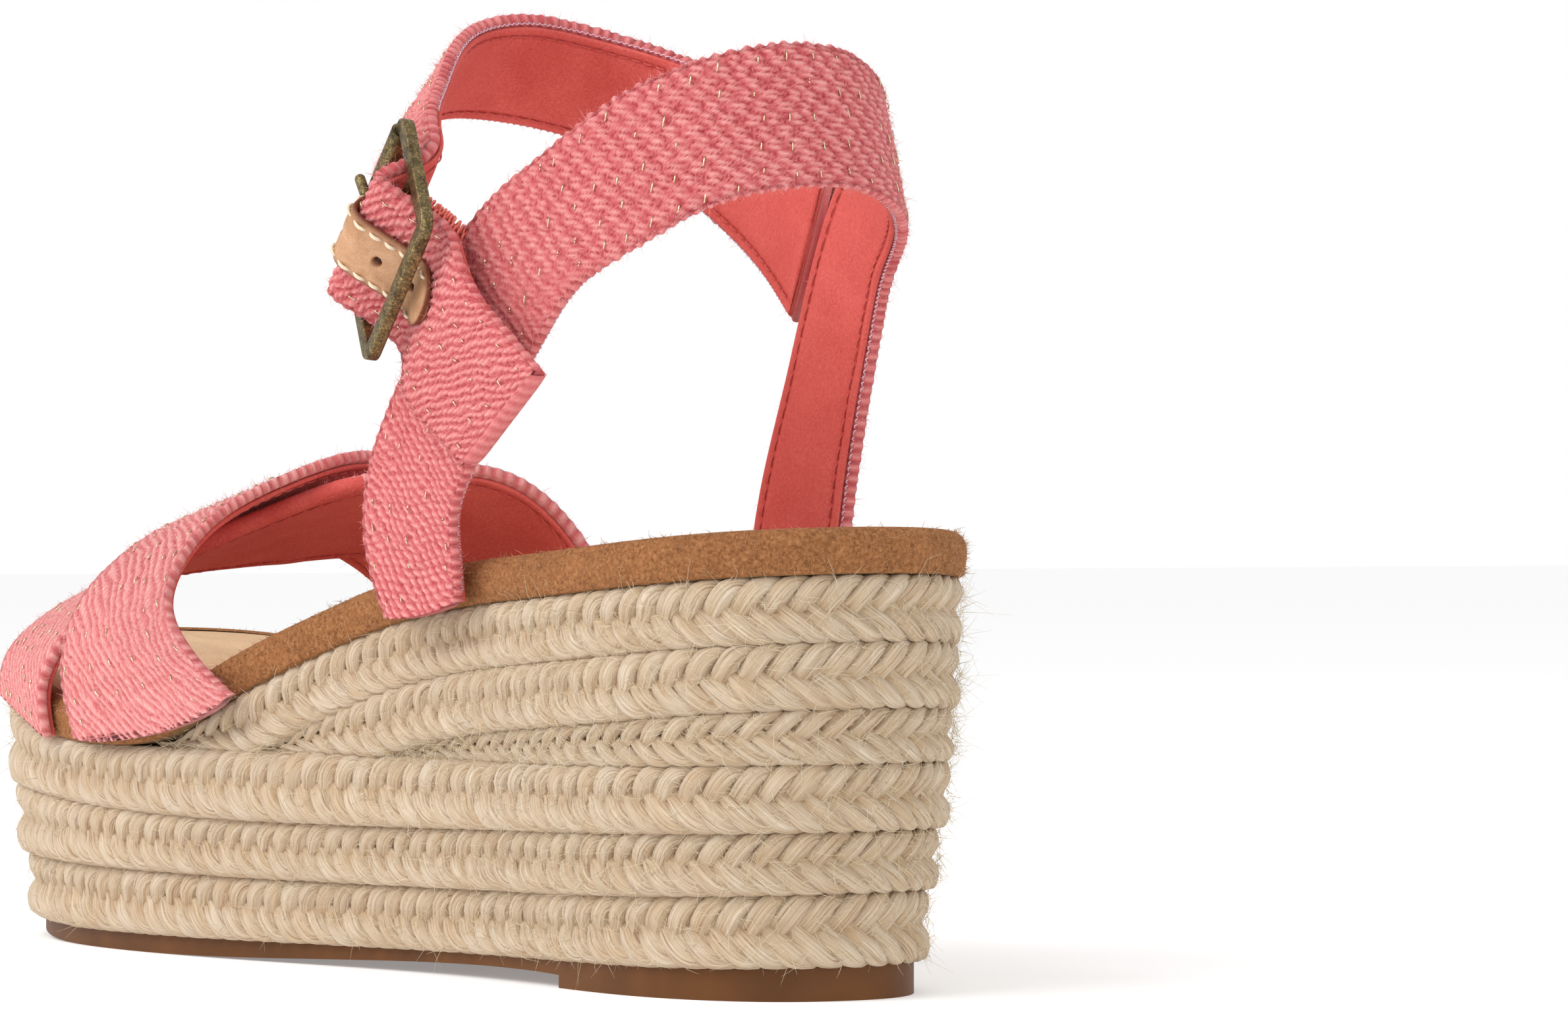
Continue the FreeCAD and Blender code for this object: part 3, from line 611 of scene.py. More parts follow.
class Nodes:
    """Short way to add and link nodes in one tree."""

    def __init__(self, tree):
        self.tree = tree

    def add(self, kind, links=None, **values):
        node = self.tree.nodes.new(kind)
        for key, value in values.items():
            setattr(node, key, value)
        for socket, value in (links or {}).items():
            target = node.inputs[socket]
            if isinstance(value, bpy.types.NodeSocket):
                self.tree.links.new(value, target)
            else:
                target.default_value = value
        return node

    def mix(self, a, b, factor, mode="MIX"):
        node = self.tree.nodes.new("ShaderNodeMix")
        node.data_type = "RGBA"
        node.blend_type = mode
        for index, value in ((0, factor), (6, a), (7, b)):
            if isinstance(value, bpy.types.NodeSocket):
                self.tree.links.new(value, node.inputs[index])
            else:
                node.inputs[index].default_value = value
        return node.outputs[2]

    def ramp(self, value, stops):
        node = self.tree.nodes.new("ShaderNodeValToRGB")
        ramp = node.color_ramp
        while len(ramp.elements) < len(stops):
            ramp.elements.new(0.5)
        for element, (place, colour) in zip(ramp.elements, stops):
            element.position = place
            element.color = colour
        self.tree.links.new(value, node.inputs[0])
        return node.outputs[0]

    def math(self, operation, a, b=0.0, clamp=False):
        node = self.tree.nodes.new("ShaderNodeMath")
        node.operation = operation
        node.use_clamp = clamp
        for index, value in ((0, a), (1, b)):
            if isinstance(value, bpy.types.NodeSocket):
                self.tree.links.new(value, node.inputs[index])
            else:
                node.inputs[index].default_value = value
        return node.outputs[0]


def grey(value):
    return (value, value, value, 1.0)


def effect(name, inputs, outputs, fill):
    """Node group: inputs and outputs are (name, type, default); fill makes its nodes."""
    tree = bpy.data.node_groups.new(name, "ShaderNodeTree")
    for label, kind, default in inputs:
        socket = tree.interface.new_socket(label, in_out="INPUT", socket_type=kind)
        if default is not None:
            socket.default_value = default
    for label, kind in outputs:
        tree.interface.new_socket(label, in_out="OUTPUT", socket_type=kind)
    nodes = Nodes(tree)
    entry = tree.nodes.new("NodeGroupInput")
    leave = tree.nodes.new("NodeGroupOutput")
    for label, socket in fill(nodes, entry.outputs).items():
        tree.links.new(socket, leave.inputs[label])
    return tree


def fill_fibre(n, inp):
    """Long fine streaks along U, as noise stretched along the yarn, plus a slow patchiness."""
    split = n.add("ShaderNodeSeparateXYZ", {0: inp["Vector"]})
    along = n.math("MULTIPLY", split.outputs[0], inp["Along"])
    across = n.math("MULTIPLY", split.outputs[1], inp["Across"])
    place = n.add("ShaderNodeCombineXYZ", {0: along, 1: across, 2: split.outputs[2]})
    streak = n.add("ShaderNodeTexNoise", {"Vector": place.outputs[0], "Scale": 1.0, "Detail": 4.0,
                                          "Roughness": 0.65, "Distortion": 0.35})
    patch = n.add("ShaderNodeTexNoise", {"Vector": inp["Vector"], "Scale": 1.6, "Detail": 2.0})
    return {"Streak": streak.outputs[0], "Patch": patch.outputs[0]}


def fill_nap(n, inp):
    """Short nap: fine noise for single fibres and a broader one for brushed patches."""
    fine = n.add("ShaderNodeTexNoise", {"Vector": inp["Vector"], "Scale": inp["Fine"],
                                        "Detail": 5.0, "Roughness": 0.7, "Distortion": 0.6})
    broad = n.add("ShaderNodeTexNoise", {"Vector": inp["Vector"], "Scale": inp["Broad"],
                                         "Detail": 3.0, "Distortion": 0.8})
    return {"Fine": fine.outputs[0], "Broad": broad.outputs[0]}


FIBRE = effect("fibre_streaks", [("Vector", "NodeSocketVector", None), ("Along", "NodeSocketFloat", 1.0),
                                 ("Across", "NodeSocketFloat", 20.0)],
               [("Streak", "NodeSocketFloat"), ("Patch", "NodeSocketFloat")], fill_fibre)
NAP = effect("short_nap", [("Vector", "NodeSocketVector", None), ("Fine", "NodeSocketFloat", 900.0),
                           ("Broad", "NodeSocketFloat", 90.0)],
             [("Fine", "NodeSocketFloat"), ("Broad", "NodeSocketFloat")], fill_nap)


def material(name, **shader):
    """New material with a Principled shader; returns the material, its node helper and the shader."""
    mat = bpy.data.materials.new(name)
    mat.use_nodes = True
    mat.node_tree.nodes.clear()
    n = Nodes(mat.node_tree)
    shade = n.add("ShaderNodeBsdfPrincipled", {key: value for key, value in shader.items()})
    out = n.add("ShaderNodeOutputMaterial")
    mat.node_tree.links.new(shade.outputs[0], out.inputs[0])
    return mat, n, shade


WHITE = grey(1.0)


def group(n, tree, **links):
    """A shader node group with its inputs linked or set; returns its outputs."""
    node = n.tree.nodes.new("ShaderNodeGroup")
    node.node_tree = tree
    for key, value in links.items():
        if isinstance(value, bpy.types.NodeSocket):
            n.tree.links.new(value, node.inputs[key])
        else:
            node.inputs[key].default_value = value
    return node.outputs


def fibre_of(n, along, across):
    """Fibre streaks that follow the piece's own UV map."""
    uv = n.add("ShaderNodeUVMap", uv_map="UVMap").outputs[0]
    return group(n, FIBRE, Vector=uv, Along=along, Across=across)


def nap_of(n, fine, broad):
    """Nap in the object's own space."""
    place = n.add("ShaderNodeTexCoord").outputs["Object"]
    return group(n, NAP, Vector=place, Fine=fine, Broad=broad)


def relief_of(n):
    """Where a point lies between the bottom and the top of a piece's pattern."""
    return n.add("ShaderNodeAttribute", attribute_name="relief").outputs["Fac"]


def finish(n, shade, colour, height_socket, strength, distance, roughness=None):
    """Links a colour, a fine surface and, where it varies, a roughness to the shader."""
    n.tree.links.new(colour, shade.inputs["Base Color"])
    if roughness:
        n.tree.links.new(roughness, shade.inputs["Roughness"])
    node = n.add("ShaderNodeBump", {"Height": height_socket, "Strength": strength,
                                    "Distance": distance})
    n.tree.links.new(node.outputs[0], shade.inputs["Normal"])


def jute_material():
    """Pale straw streaks along the yarns, with painted shade in brown between the strands."""
    mat, n, shade = material("jute", Roughness=0.88, **{"Sheen Weight": 0.12, "Sheen Roughness": 0.6,
                                                        "Specular IOR Level": 0.25})
    fibre = fibre_of(n, 1.3, 26.0)
    colour = n.ramp(fibre["Streak"], [(0.30, hexa("8E7358")), (0.42, hexa("BFAA91")),
                                      (0.56, hexa("CFBEA8")), (0.74, hexa("E6DACA"))])
    tint = n.ramp(fibre["Patch"], [(0.3, hexa("EBD9BF")), (0.7, WHITE)])
    colour = n.mix(colour, tint, 0.6, "MULTIPLY")
    # Painted shade: low relief between the strands turns the jute brown.
    deep = n.ramp(relief_of(n), [(0.0, hexa("755742")), (0.3, hexa("CDB69A")), (0.6, hexa("F8F2E8")),
                                 (1.0, WHITE)])
    finish(n, shade, n.mix(colour, deep, 1.0, "MULTIPLY"), fibre["Streak"], 0.55, 0.0006)
    return mat


def webbing_material(name, sheen, tones):
    """Pink yarn; tones are its colours from painted shade deep between the floats, through the yarn's own
    pink, to a painted highlight on the top of a float.
    """
    mat, n, shade = material(name, Roughness=0.92,
                             **{"Sheen Weight": sheen, "Sheen Roughness": 0.45,
                                "Sheen Tint": hexa("F7B3B3"), "Specular IOR Level": 0.2})
    fibre = fibre_of(n, 9.0, 55.0)
    nap = nap_of(n, 2600.0, 160.0)
    # Painted shade and highlight by relief: dark in the weave's hollows, light on the floats' tops.
    colour = n.ramp(relief_of(n), [(at, hexa(code)) for at, code in zip((0.0, 0.4, 0.75, 1.0), tones)])
    for mask, low, dull, high, amount in ((nap["Broad"], 0.3, "F5E2E1", 0.7, 0.6),
                                          (nap["Fine"], 0.35, "EDB6B6", 0.6, 0.35),
                                          (fibre["Streak"], 0.3, "DD9092", 0.55, 0.6)):
        colour = n.mix(colour, n.ramp(mask, [(low, hexa(dull)), (high, WHITE)]), amount, "MULTIPLY")
    fuzz = n.math("ADD", n.math("MULTIPLY", fibre["Streak"], 1.6), nap["Fine"])
    finish(n, shade, colour, fuzz, 0.6, 0.0004)
    return mat


def lining_material():
    """Coral microsuede, a little darker along its seams."""
    mat, n, shade = material("coral_lining", Roughness=0.9,
                             **{"Sheen Weight": 0.3, "Sheen Roughness": 0.5,
                                "Sheen Tint": hexa("E98078"), "Specular IOR Level": 0.2})
    nap = nap_of(n, 2200.0, 70.0)
    colour = n.ramp(nap["Fine"], [(0.3, hexa("C95650")), (0.55, hexa("DC6962")), (0.8, hexa("E68078"))])
    colour = n.mix(colour, n.ramp(nap["Broad"], [(0.3, hexa("E8C6C4")), (0.7, WHITE)]), 0.6, "MULTIPLY")
    colour = n.mix(colour, n.ramp(relief_of(n), [(0.2, WHITE), (1.0, hexa("E2B0AE"))]), 0.7, "MULTIPLY")
    finish(n, shade, colour, nap["Fine"], 0.35, 0.0003)
    return mat


def suede_material(name, low, mid, high, fine, strength):
    """Brushed suede in three tones, with darker brushed patches."""
    mat, n, shade = material(name, Roughness=0.93,
                             **{"Sheen Weight": 0.35, "Sheen Roughness": 0.4, "Sheen Tint": high,
                                "Specular IOR Level": 0.2})
    nap = nap_of(n, fine, 110.0)
    colour = n.ramp(nap["Fine"], [(0.3, low), (0.5, mid), (0.72, high)])
    colour = n.mix(colour, n.ramp(nap["Broad"], [(0.3, grey(0.72)), (0.7, WHITE)]), 0.65, "MULTIPLY")
    finish(n, shade, colour, nap["Fine"], strength, 0.0005)
    return mat


def rubber_material():
    """Caramel rubber with a little dust."""
    mat, n, shade = material("caramel_rubber", **{"Specular IOR Level": 0.25})
    nap = nap_of(n, 1400.0, 45.0)
    colour = n.ramp(nap["Broad"], [(0.3, hexa("573313")), (0.55, hexa("643C17")), (0.8, hexa("70461D"))])
    dust = n.ramp(nap["Fine"], [(0.62, grey(0.0)), (0.8, grey(0.35))])
    colour = n.mix(colour, hexa("A98A60"), n.math("MULTIPLY", dust, 0.4))
    roughness = n.math("ADD", n.math("MULTIPLY", nap["Fine"], 0.25), 0.42)
    finish(n, shade, colour, nap["Fine"], 0.2, 0.0002, roughness)
    return mat


def brass_material():
    """Brass darkened all over, with gold flecks where it is rubbed."""
    mat, n, shade = material("antique_brass", Metallic=0.85)
    nap = nap_of(n, 2600.0, 420.0)
    colour = n.ramp(nap["Fine"], [(0.38, hexa("5E5440")), (0.52, hexa("82724F")), (0.64, hexa("BFA266")),
                                  (0.78, hexa("E2C888"))])
    colour = n.mix(colour, n.ramp(nap["Broad"], [(0.35, hexa("8A857A")), (0.65, WHITE)]), 0.8, "MULTIPLY")
    roughness = n.ramp(nap["Fine"], [(0.4, grey(0.55)), (0.7, grey(0.28))])
    finish(n, shade, colour, nap["Broad"], 0.12, 0.0002, roughness)
    return mat


def leather_material():
    """Grained tan leather, darker along its cut edges, and nearly black in its holes as painted shade."""
    mat, n, shade = material("tan_leather", Roughness=0.5, **{"Specular IOR Level": 0.45})
    nap = nap_of(n, 1500.0, 260.0)
    place = n.add("ShaderNodeTexCoord").outputs["Object"]
    grain = n.add("ShaderNodeTexVoronoi", {"Vector": place, "Scale": 2200.0},
                  feature="DISTANCE_TO_EDGE").outputs["Distance"]
    colour = n.ramp(nap["Broad"], [(0.3, hexa("B07F58")), (0.55, hexa("C4946D")), (0.8, hexa("D3A781"))])
    colour = n.mix(colour, n.ramp(grain, [(0.0, grey(0.62)), (0.12, WHITE)]), 0.5, "MULTIPLY")
    # Relief: darker cut edges at 0.8, painted shade nearly black in the holes at 1.
    edge = n.ramp(relief_of(n), [(0.0, WHITE), (0.8, hexa("9A6A48")), (1.0, hexa("3A1F16"))])
    colour = n.mix(colour, edge, 1.0, "MULTIPLY")
    finish(n, shade, colour, n.math("ADD", grain, n.math("MULTIPLY", nap["Fine"], 0.3)), 0.35, 0.0003)
    return mat


def thread_material(name, low, high, rough=0.7, metal=0.0):
    """Thread or loose fibre between two tones."""
    mat, n, shade = material(name, Roughness=rough, Metallic=metal)
    fibre = fibre_of(n, 8.0, 6.0)
    colour = n.ramp(fibre["Streak"], [(0.3, hexa(low)), (0.7, hexa(high))])
    finish(n, shade, colour, fibre["Streak"], 0.3, 0.0002)
    return mat


JUTE = jute_material()
# In each webbing tone set the first is painted shade and the last a painted highlight.
PINK = webbing_material("pink_webbing", 0.3, ("B8454F", "D97376", "ED9998", "F7B9B5"))
# Lighter copy of the pink webbing for the toe straps: painted light for the strong light on the toe side.
PINK_PAINTED_LIT = webbing_material("pink_webbing_painted_lit", 0.55, ("D2666B", "E88E8E", "F5B0AD", "FBCBC6"))
CORAL = lining_material()
SUEDE = suede_material("tan_suede", hexa("6F4426"), hexa("9F6940"), hexa("C08A5C"), 1500.0, 0.8)
SOCK = suede_material("sock_suede", hexa("CBA27C"), hexa("DDB791"), hexa("E8C9A8"), 2400.0, 0.25)
RUBBER = rubber_material()
BRASS = brass_material()
LEATHER = leather_material()
CREAM = thread_material("cream_thread", "DCC4A4", "F2E3CB")
LILAC = thread_material("lilac_thread", "D3A9BE", "EBCFDC")
CORAL_THREAD = thread_material("coral_thread", "B9433F", "DC6F68")
ELASTIC = thread_material("coral_elastic", "E0685A", "F58F80")
LUREX = thread_material("lurex", "D8B86A", "F4F1EA", 0.22, 0.95)
PINK_FUZZ = thread_material("pink_fuzz", "E2888C", "F3B1B0", 0.9)
JUTE_FUZZ = thread_material("jute_fuzz", "CDB88E", "EFE4CC", 0.8)
SUEDE_FUZZ = thread_material("suede_fuzz", "8A5932", "D9A878", 0.9)
BOARD = suede_material("board_fibre", hexa("7C5E40"), hexa("93714E"), hexa("A98961"), 700.0, 0.3)
FOAM = suede_material("latex_foam", hexa("C9BCA4"), hexa("DDD2BD"), hexa("ECE3D2"), 500.0, 0.4)


# --- braids ---------------------------------------------------------------------

STRANDS = 5
STRAND_PITCH = 4.2            # between neighbouring strands along a braid
STRAND_RADIUS = 1.75
FULL_HALF = 4.9               # half height of a row whose strands have that radius
BRAID_STEP = 0.68             # mesh size along a braid
YARN_RIDGES = 5
PRESS = 0.72                  # share of a row's half height where its strands start to be flattened
VALLEY = 0.55                 # how far the crossing line lies below the two halves of a row
PRESS_TO = 1.10               # and the most they reach
SHEAR = -0.16                 # how much steeper the upper half's strands run than the lower's
YARN_TWIST = 24.0             # length of one turn of the yarns in a strand


def braid(build, centre, out, half, closed, seed):
    """Five-strand plait along a line.

    Strand k runs across the braid as the sine of the phase, and in and out as the sine of twice
    the phase.  Its section is an oval with yarn ridges that turn slowly along it.
    """
    data = np.concatenate([centre, out, half[:, None]], 1)
    if closed:
        data = np.concatenate([data, data[:1]])
    s = lengths(data[:, :3])
    total = s[-1]
    period = STRANDS * STRAND_PITCH
    if closed:
        period = total / round(total / period)
    at_s = np.linspace(0, total, int(total / BRAID_STEP), endpoint=not closed)
    data = np.stack([np.interp(at_s, s, data[:, i]) for i in range(7)], 1)
    centre, out, half = data[:, :3], unit(data[:, 3:6]), data[:, 6]
    up = unit(np.cross(out, tangents(centre, closed)))
    up = up * np.sign(up[:, 2:3])
    size = np.clip(half / FULL_HALF, 0.15, 1.15)
    ring = np.arange(16) * TAU / 16
    for k in range(STRANDS):
        # Fades out at the ends, so that a closed plait meets itself.
        settle = np.clip(np.minimum(at_s, total - at_s) / 12.0, 0, 1) if closed else 1.0
        phase = TAU * (at_s + 0.5 * settle * wobble(at_s, 0 * at_s, seed * 3 + 40, 40.0)) / period
        phase = phase + TAU * k / STRANDS
        phase = phase - SHEAR * half / period * np.sin(phase) * TAU
        uneven = 1 + settle * (0.05 * np.sin(at_s / 7.3 + seed + k)
                               + 0.04 * np.sin(at_s / 3.1 + 2 * seed + k))
        radius = STRAND_RADIUS * size * uneven
        reach = half - 0.45 * radius
        across = reach * (np.sin(phase) - 0.05 * np.sin(3 * phase))
        depth = 0.85 * size * np.sin(2 * phase)
        line = centre + up * across[:, None] + out * depth[:, None]
        tangent = tangents(line, closed)
        lift = unit(out - tangent * (out * tangent).sum(1, keepdims=True))
        side = np.cross(tangent, lift)
        turns = round(total / YARN_TWIST) if closed else total / YARN_TWIST
        spin = TAU * turns * at_s / total
        ridge = np.cos(YARN_RIDGES * ring[None] + spin[:, None] + k)
        shape = 1 + 0.085 * ridge + 0.04 * np.cos(3 * ring[None] - 2 * spin[:, None])
        points = (line[:, None] + side[:, None] * (np.cos(ring)[None] * radius[:, None] * shape)[..., None]
                  + lift[:, None] * (np.sin(ring)[None] * 0.80 * radius[:, None] * shape)[..., None])
        rise = ((points - centre[:, None]) * up[:, None]).sum(-1)
        share = np.abs(rise) / half[:, None]
        pressed = np.where(share > PRESS, PRESS + (PRESS_TO - PRESS)
                           * np.tanh((share - PRESS) / (PRESS_TO - PRESS)), share)
        points = points + up[:, None] * (np.sign(rise) * (pressed - share) * half[:, None])[..., None]
        valley = np.exp(-(rise / (1.25 * size[:, None])) ** 2)
        points = points - out[:, None] * (VALLEY * size[:, None] * valley)[..., None]
        # The relief carries the jute's painted shade: darker where a strand dips under the others, on its
        # inner side, between its yarn ridges and along the crossing line.
        deep = np.clip(0.5 + 0.5 * np.sin(2 * phase), 0, 1)
        relief = np.clip(0.34 + deep[:, None] * 0.45 + 0.22 * ridge + 0.35 * np.sin(ring)[None]
                         - 0.42 * valley * (1 - deep[:, None]) - 0.12 * valley, 0, 1)
        build.grid(points, wrap_u=closed, wrap_v=True, caps=not closed,
                   uv=(total * 1.25 / 10, 2 * np.pi * 2.1 / 10), origin=(0.0, 3.7 * k + seed),
                   relief=relief)


ROPE_IN = 2.9                 # plait's middle line, in from the braid's outer face
PLATFORM_ROWS = [("platform_braid_upper", UPPER_GROOVE, PLATFORM_TOP, -1.2, 2.0),
                 ("platform_braid_middle", LOWER_GROOVE, UPPER_GROOVE, 0.0, 3.6),
                 ("platform_braid_lower", ROPE_BASE, LOWER_GROOVE, 2.0, 5.4)]
WEDGE_ROWS = [("wedge_braid_upper", 0, 0.0, -31.0), ("wedge_braid_middle", 1, 0.4, -7.5),
              ("wedge_braid_lower", 2, 1.0, 24.0)]

rope_lines = []


def rope(name, line, out, middle, half, closed, seed):
    """One plaited row: its middle line at the heights middle, and half its height to each side."""
    centre = np.column_stack([line, middle])
    normal = np.column_stack([out, np.zeros(len(out))])
    build = Build()
    braid(build, centre, normal, half, closed, seed)
    build.piece(name + "_plait", JUTE, replaces=(name,), slot="jute")
    rope_lines.append((centre, normal, half))


for index, (name, low, high, toe_in, heel_in) in enumerate(PLATFORM_ROWS):
    line, out = foot_outline(toe_in + ROPE_IN, heel_in + ROPE_IN)
    z0, z1 = height(low, line[:, 0]), height(high, line[:, 0])
    if name.endswith("lower"):
        z0 = z0 - 1.2
    rope(name, line, out, (z0 + z1) / 2, (z1 - z0) / 2, True, index)

for index, (name, row, heel_in, start_x) in enumerate(WEDGE_ROWS):
    line, out = foot_outline(ROPE_IN, heel_in + ROPE_IN)
    toe = int(np.argmin(line[:, 0]))
    line, out = np.roll(line, -toe, 0), np.roll(out, -toe, 0)
    keep = line[:, 0] > start_x
    line, out = line[keep], out[keep]
    top = height(WEDGE_TOP, line[:, 0]) - row * ROPE_HEIGHT
    bottom = np.maximum(top - ROPE_HEIGHT, height(PLATFORM_TOP, line[:, 0]))
    half = np.maximum((top - bottom) / 2, 0.5)
    rope(name, line, out, bottom + half, half, False, index + 5)


# --- footbed ----------------------------------------------------------------------

def footbed():
    """Suede wrap: a rounded edge profile carried round the outline.  Sock: a dished top inside it."""
    edge, out = foot_outline(0.3, 0.3)
    edge, out = edge[::4], out[::4]
    base = height(FOOTBED_BASE, edge[:, 0])
    # Profile as (inwards, up): bottom, bulging side, rounded shoulder, a little way over the top.
    profile = np.array([(4.0, 0.25), (1.4, 0.15), (0.35, 0.35), (0.0, 1.2), (-0.25, 2.6), (-0.3, 4.0),
                        (-0.1, 5.2), (0.45, 6.2), (1.3, 6.8), (2.4, 7.0), (3.4, 6.95), (4.2, 6.6)])
    t = lengths(profile)
    profile = natural_spline(t, profile, np.linspace(0, t[-1], 40))
    ins, ups = profile[:, 0], profile[:, 1]
    points = np.empty((len(edge), len(ins), 3))
    points[..., :2] = edge[:, None] - out[:, None] * ins[None, :, None]
    points[..., 2] = base[:, None] + ups[None]
    s = lengths(np.concatenate([edge, edge[:1]]))[:-1]
    ripple = 0.10 * wobble(s[:, None], ups[None] * 3, 11, 17.0)
    points[..., :2] += out[:, None] * ripple[..., None]
    build = Build()
    build.grid(points, wrap_u=True, uv=(s[-1] / 10, 2.0))
    build.piece("footbed_wrap", SUEDE, replaces=("footbed_edge_wrap",), slot="footbed_edge_wrap")
    # Sock: rings from the seam inwards to a middle line.
    inner = foot_outline(2.6, 2.6)[0][::4]
    spine = np.column_stack([np.clip(inner[:, 0], -85, 88) * 0.98, inner[:, 1] * 0.0 + 2.0])
    rings = np.linspace(0, 1, 28)
    xy = inner[:, None] * (1 - rings)[None, :, None] + spine[:, None] * rings[None, :, None]
    dip = 0.6 * (1 - (1 - rings) ** 2)
    z = height(FOOTBED_BASE, xy[..., 0].ravel()).reshape(xy.shape[:2]) + FOOTBED_THICK - 0.05
    z = z - dip[None] * np.clip((xy[..., 0] + 140) / 200, 0.4, 1.0)
    z[:, 0] -= 0.12
    build = Build()
    grid = np.concatenate([xy, z[..., None]], -1)
    skirt = grid[:, :1].copy()
    skirt[..., 2] -= 0.8
    build.grid(np.concatenate([skirt, grid], 1), wrap_u=True, uv=(s[-1] / 10, 4.0), about=np.zeros(3))
    build.piece("sock", SOCK, replaces=("sock_lining",), slot="sock_lining")
    return edge, out, base


edge_line, edge_out, edge_base = footbed()

# --- straps -------------------------------------------------------------------------

over = Strap(OVER_STRAP)
under = Strap(UNDER_STRAP)
heel = Strap(HEEL_STRAP)
ankle = Strap(ANKLE_STRAP)

# The toe straps take the lighter copy of the pink webbing, which is painted light.
webbing("toe_strap_over", over, PINK_PAINTED_LIT, SANDAL, ("toe_strap_over_webbing",), 1, "along", 1.05, tuck=3.3)
webbing("toe_strap_under", under, PINK_PAINTED_LIT, SANDAL, ("toe_strap_under_webbing",), 2, "along", 1.05)
webbing("heel_strap", heel, PINK, SANDAL, ("heel_strap_webbing",), 3, "level", tuck=1.0)
lining("toe_strap_over_backing", over, SANDAL, ("toe_strap_over_lining",), 21)
lining("toe_strap_under_backing", under, SANDAL, ("toe_strap_under_lining",), 22, bound=(21.0, 70.0))
lining("heel_strap_backing", heel, SANDAL, ("heel_strap_lining",), 23)


def bends(piece):
    """Bakes an ankle-strap piece's placement into its mesh."""
    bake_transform(piece)


def place_on(strap, target):
    """Distance along a strap of the point nearest to target."""
    middle = (strap.front + strap.rear) / 2
    return float(np.argmin(np.linalg.norm(middle - target, axis=1))) / (strap.count - 1) * strap.length


CREST = place_on(ankle, at(0, 0, CREST_OUT))
PRONG_GAP = 1.7 / STRAP_WIDTH # half the slot's width, as a share of the strap's


def prong_hole(start, end):
    """The prong's slot in a layer of the ankle strap, as distances along it and shares of its width."""
    return CREST + start, CREST + end, 0.5 - PRONG_GAP, 0.5 + PRONG_GAP


bends(webbing("ankle_strap", ankle, PINK, None, ("ankle_strap_webbing", "strap_tail_webbing"), 4,
              hole=prong_hole(-10.0, 0.6), fold=True))
bends(lining("ankle_strap_backing", ankle, None, ("ankle_strap_lining", "strap_tail_lining"), 24,
             hole=prong_hole(-10.0, 2.8)))


def seams(name, strap, width, body=SANDAL):
    """Seam threads along both edges of a strap's backing."""
    build = Build()
    for share in (SEAM_IN / width, 1 - SEAM_IN / width):
        stitch_row(build, strap, 2, strap.length - 2, share, BACKING_FACE - 0.02)
    return build.piece(name, CORAL_THREAD, body)


for name, strap in (("over_seams", over), ("under_seams", under), ("heel_seams", heel)):
    seams(name, strap, strap.width.mean())
bends(seams("ankle_seams", ankle, STRAP_WIDTH, None))


def edge_thread(name, strap, start, end, body=SANDAL):
    """Pale thread lying between webbing and lining along both edges, in short loops."""
    build = Build()
    u = np.arange(start, end, 0.35)
    turn = u * TAU / 1.15
    for edge, sign in EDGES:
        share = np.full(len(u), edge) + sign * (0.02 + 0.12 * np.sin(turn)) / strap.width.mean()
        path = strap.at(u, share, -WEBBING - 0.05 + 0.22 * np.cos(turn))
        tube(build, path, 0.12, 5)
    return build.piece(name, LILAC, body)


edge_thread("heel_edge_thread", heel, 2.0, heel.length - 2.0)
edge_thread("ankle_edge_thread", ankle, 2.0, CREST - 24.0)


TAB_HALF = 5.3                # half the leather tab's width, and the radius of its ends
TAB_TOP = 1.35                # heights of its faces above the strap
TAB_BASE = 0.15
TAB_STITCHES = 4.2 / STRAP_WIDTH
HOLES = [CREST + along for along in (-16.0, -8.5, -1.0, 6.5, 14.0)]


def tab():
    """Leather tab over the buckle: a flat strip with half-round ends and a row of holes, pressed in as
    dents that its relief paints dark as shade.
    """
    start = place_on(ankle, at(-BUCKLE_SHORT / 2 - 14.5, 0, -5))
    end = place_on(ankle, at(BUCKLE_SHORT / 2 + 4.5, 0, -4))
    columns = 31
    u = np.linspace(start, end, 300)
    to_end = np.clip(1 - np.minimum(u - start, end - u) / TAB_HALF, 0, 1)
    wide = np.maximum(TAB_HALF * np.sqrt(np.clip(1 - to_end ** 2, 0.0, 1)), 0.05)
    x = np.linspace(-1, 1, columns)
    rim = np.abs(x) ** 8
    across = np.concatenate([x, [1.02], x[::-1], [-1.02]])
    middle = (TAB_TOP + TAB_BASE) / 2
    off = np.concatenate([TAB_TOP - 0.35 * rim, [middle], TAB_BASE + 0.35 * rim[::-1], [middle]])
    outer = np.concatenate([np.ones(columns), np.zeros(columns + 2)])
    uu, xx = np.meshgrid(u, across, indexing="ij")
    share = 0.5 + xx * wide[:, None] / STRAP_WIDTH
    dent = np.zeros_like(uu)
    for hole in HOLES:
        near = np.hypot(uu - hole, (share - 0.5) * STRAP_WIDTH)
        dent += 1.1 * np.exp(-(near / 0.8) ** 6)
    near_edge = np.concatenate([rim, [1.0], rim[::-1], [1.0]])
    build = Build()
    # dent also raises the relief, so the holes get painted shade.
    build.grid(ankle.at(uu, share, off[None] - dent * outer), wrap_v=True, caps=True,
               uv=((end - start) / 10, 3.0), relief=np.clip(near_edge[None] * 0.8 + dent, 0, 1))
    build.piece("tab", LEATHER, replaces=("hole_tab",), slot="hole_tab")
    build = Build()
    for side in (0.5 - TAB_STITCHES, 0.5 + TAB_STITCHES):
        stitch_row(build, ankle, start + 3.2, end - 3.2, side, TAB_TOP + 0.1, 0.30, 2.7, 2.1)
    build.piece("tab_stitches", CREAM)


tab()

# --- elastic --------------------------------------------------------------------------

SLEEVES = (-9.0, -2.1), (2.1, 9.0)      # where they start and end along the centre bar
# Curls along the elastic's edges: distance out, radius, length of a turn, height.
CURLS = [(0.2, 0.75, 0.85, 0.1), (0.7, 0.6, 0.7, -0.7), (0.3, 0.65, 0.95, -1.3)]
BAND = 18.0                   # the elastic's width


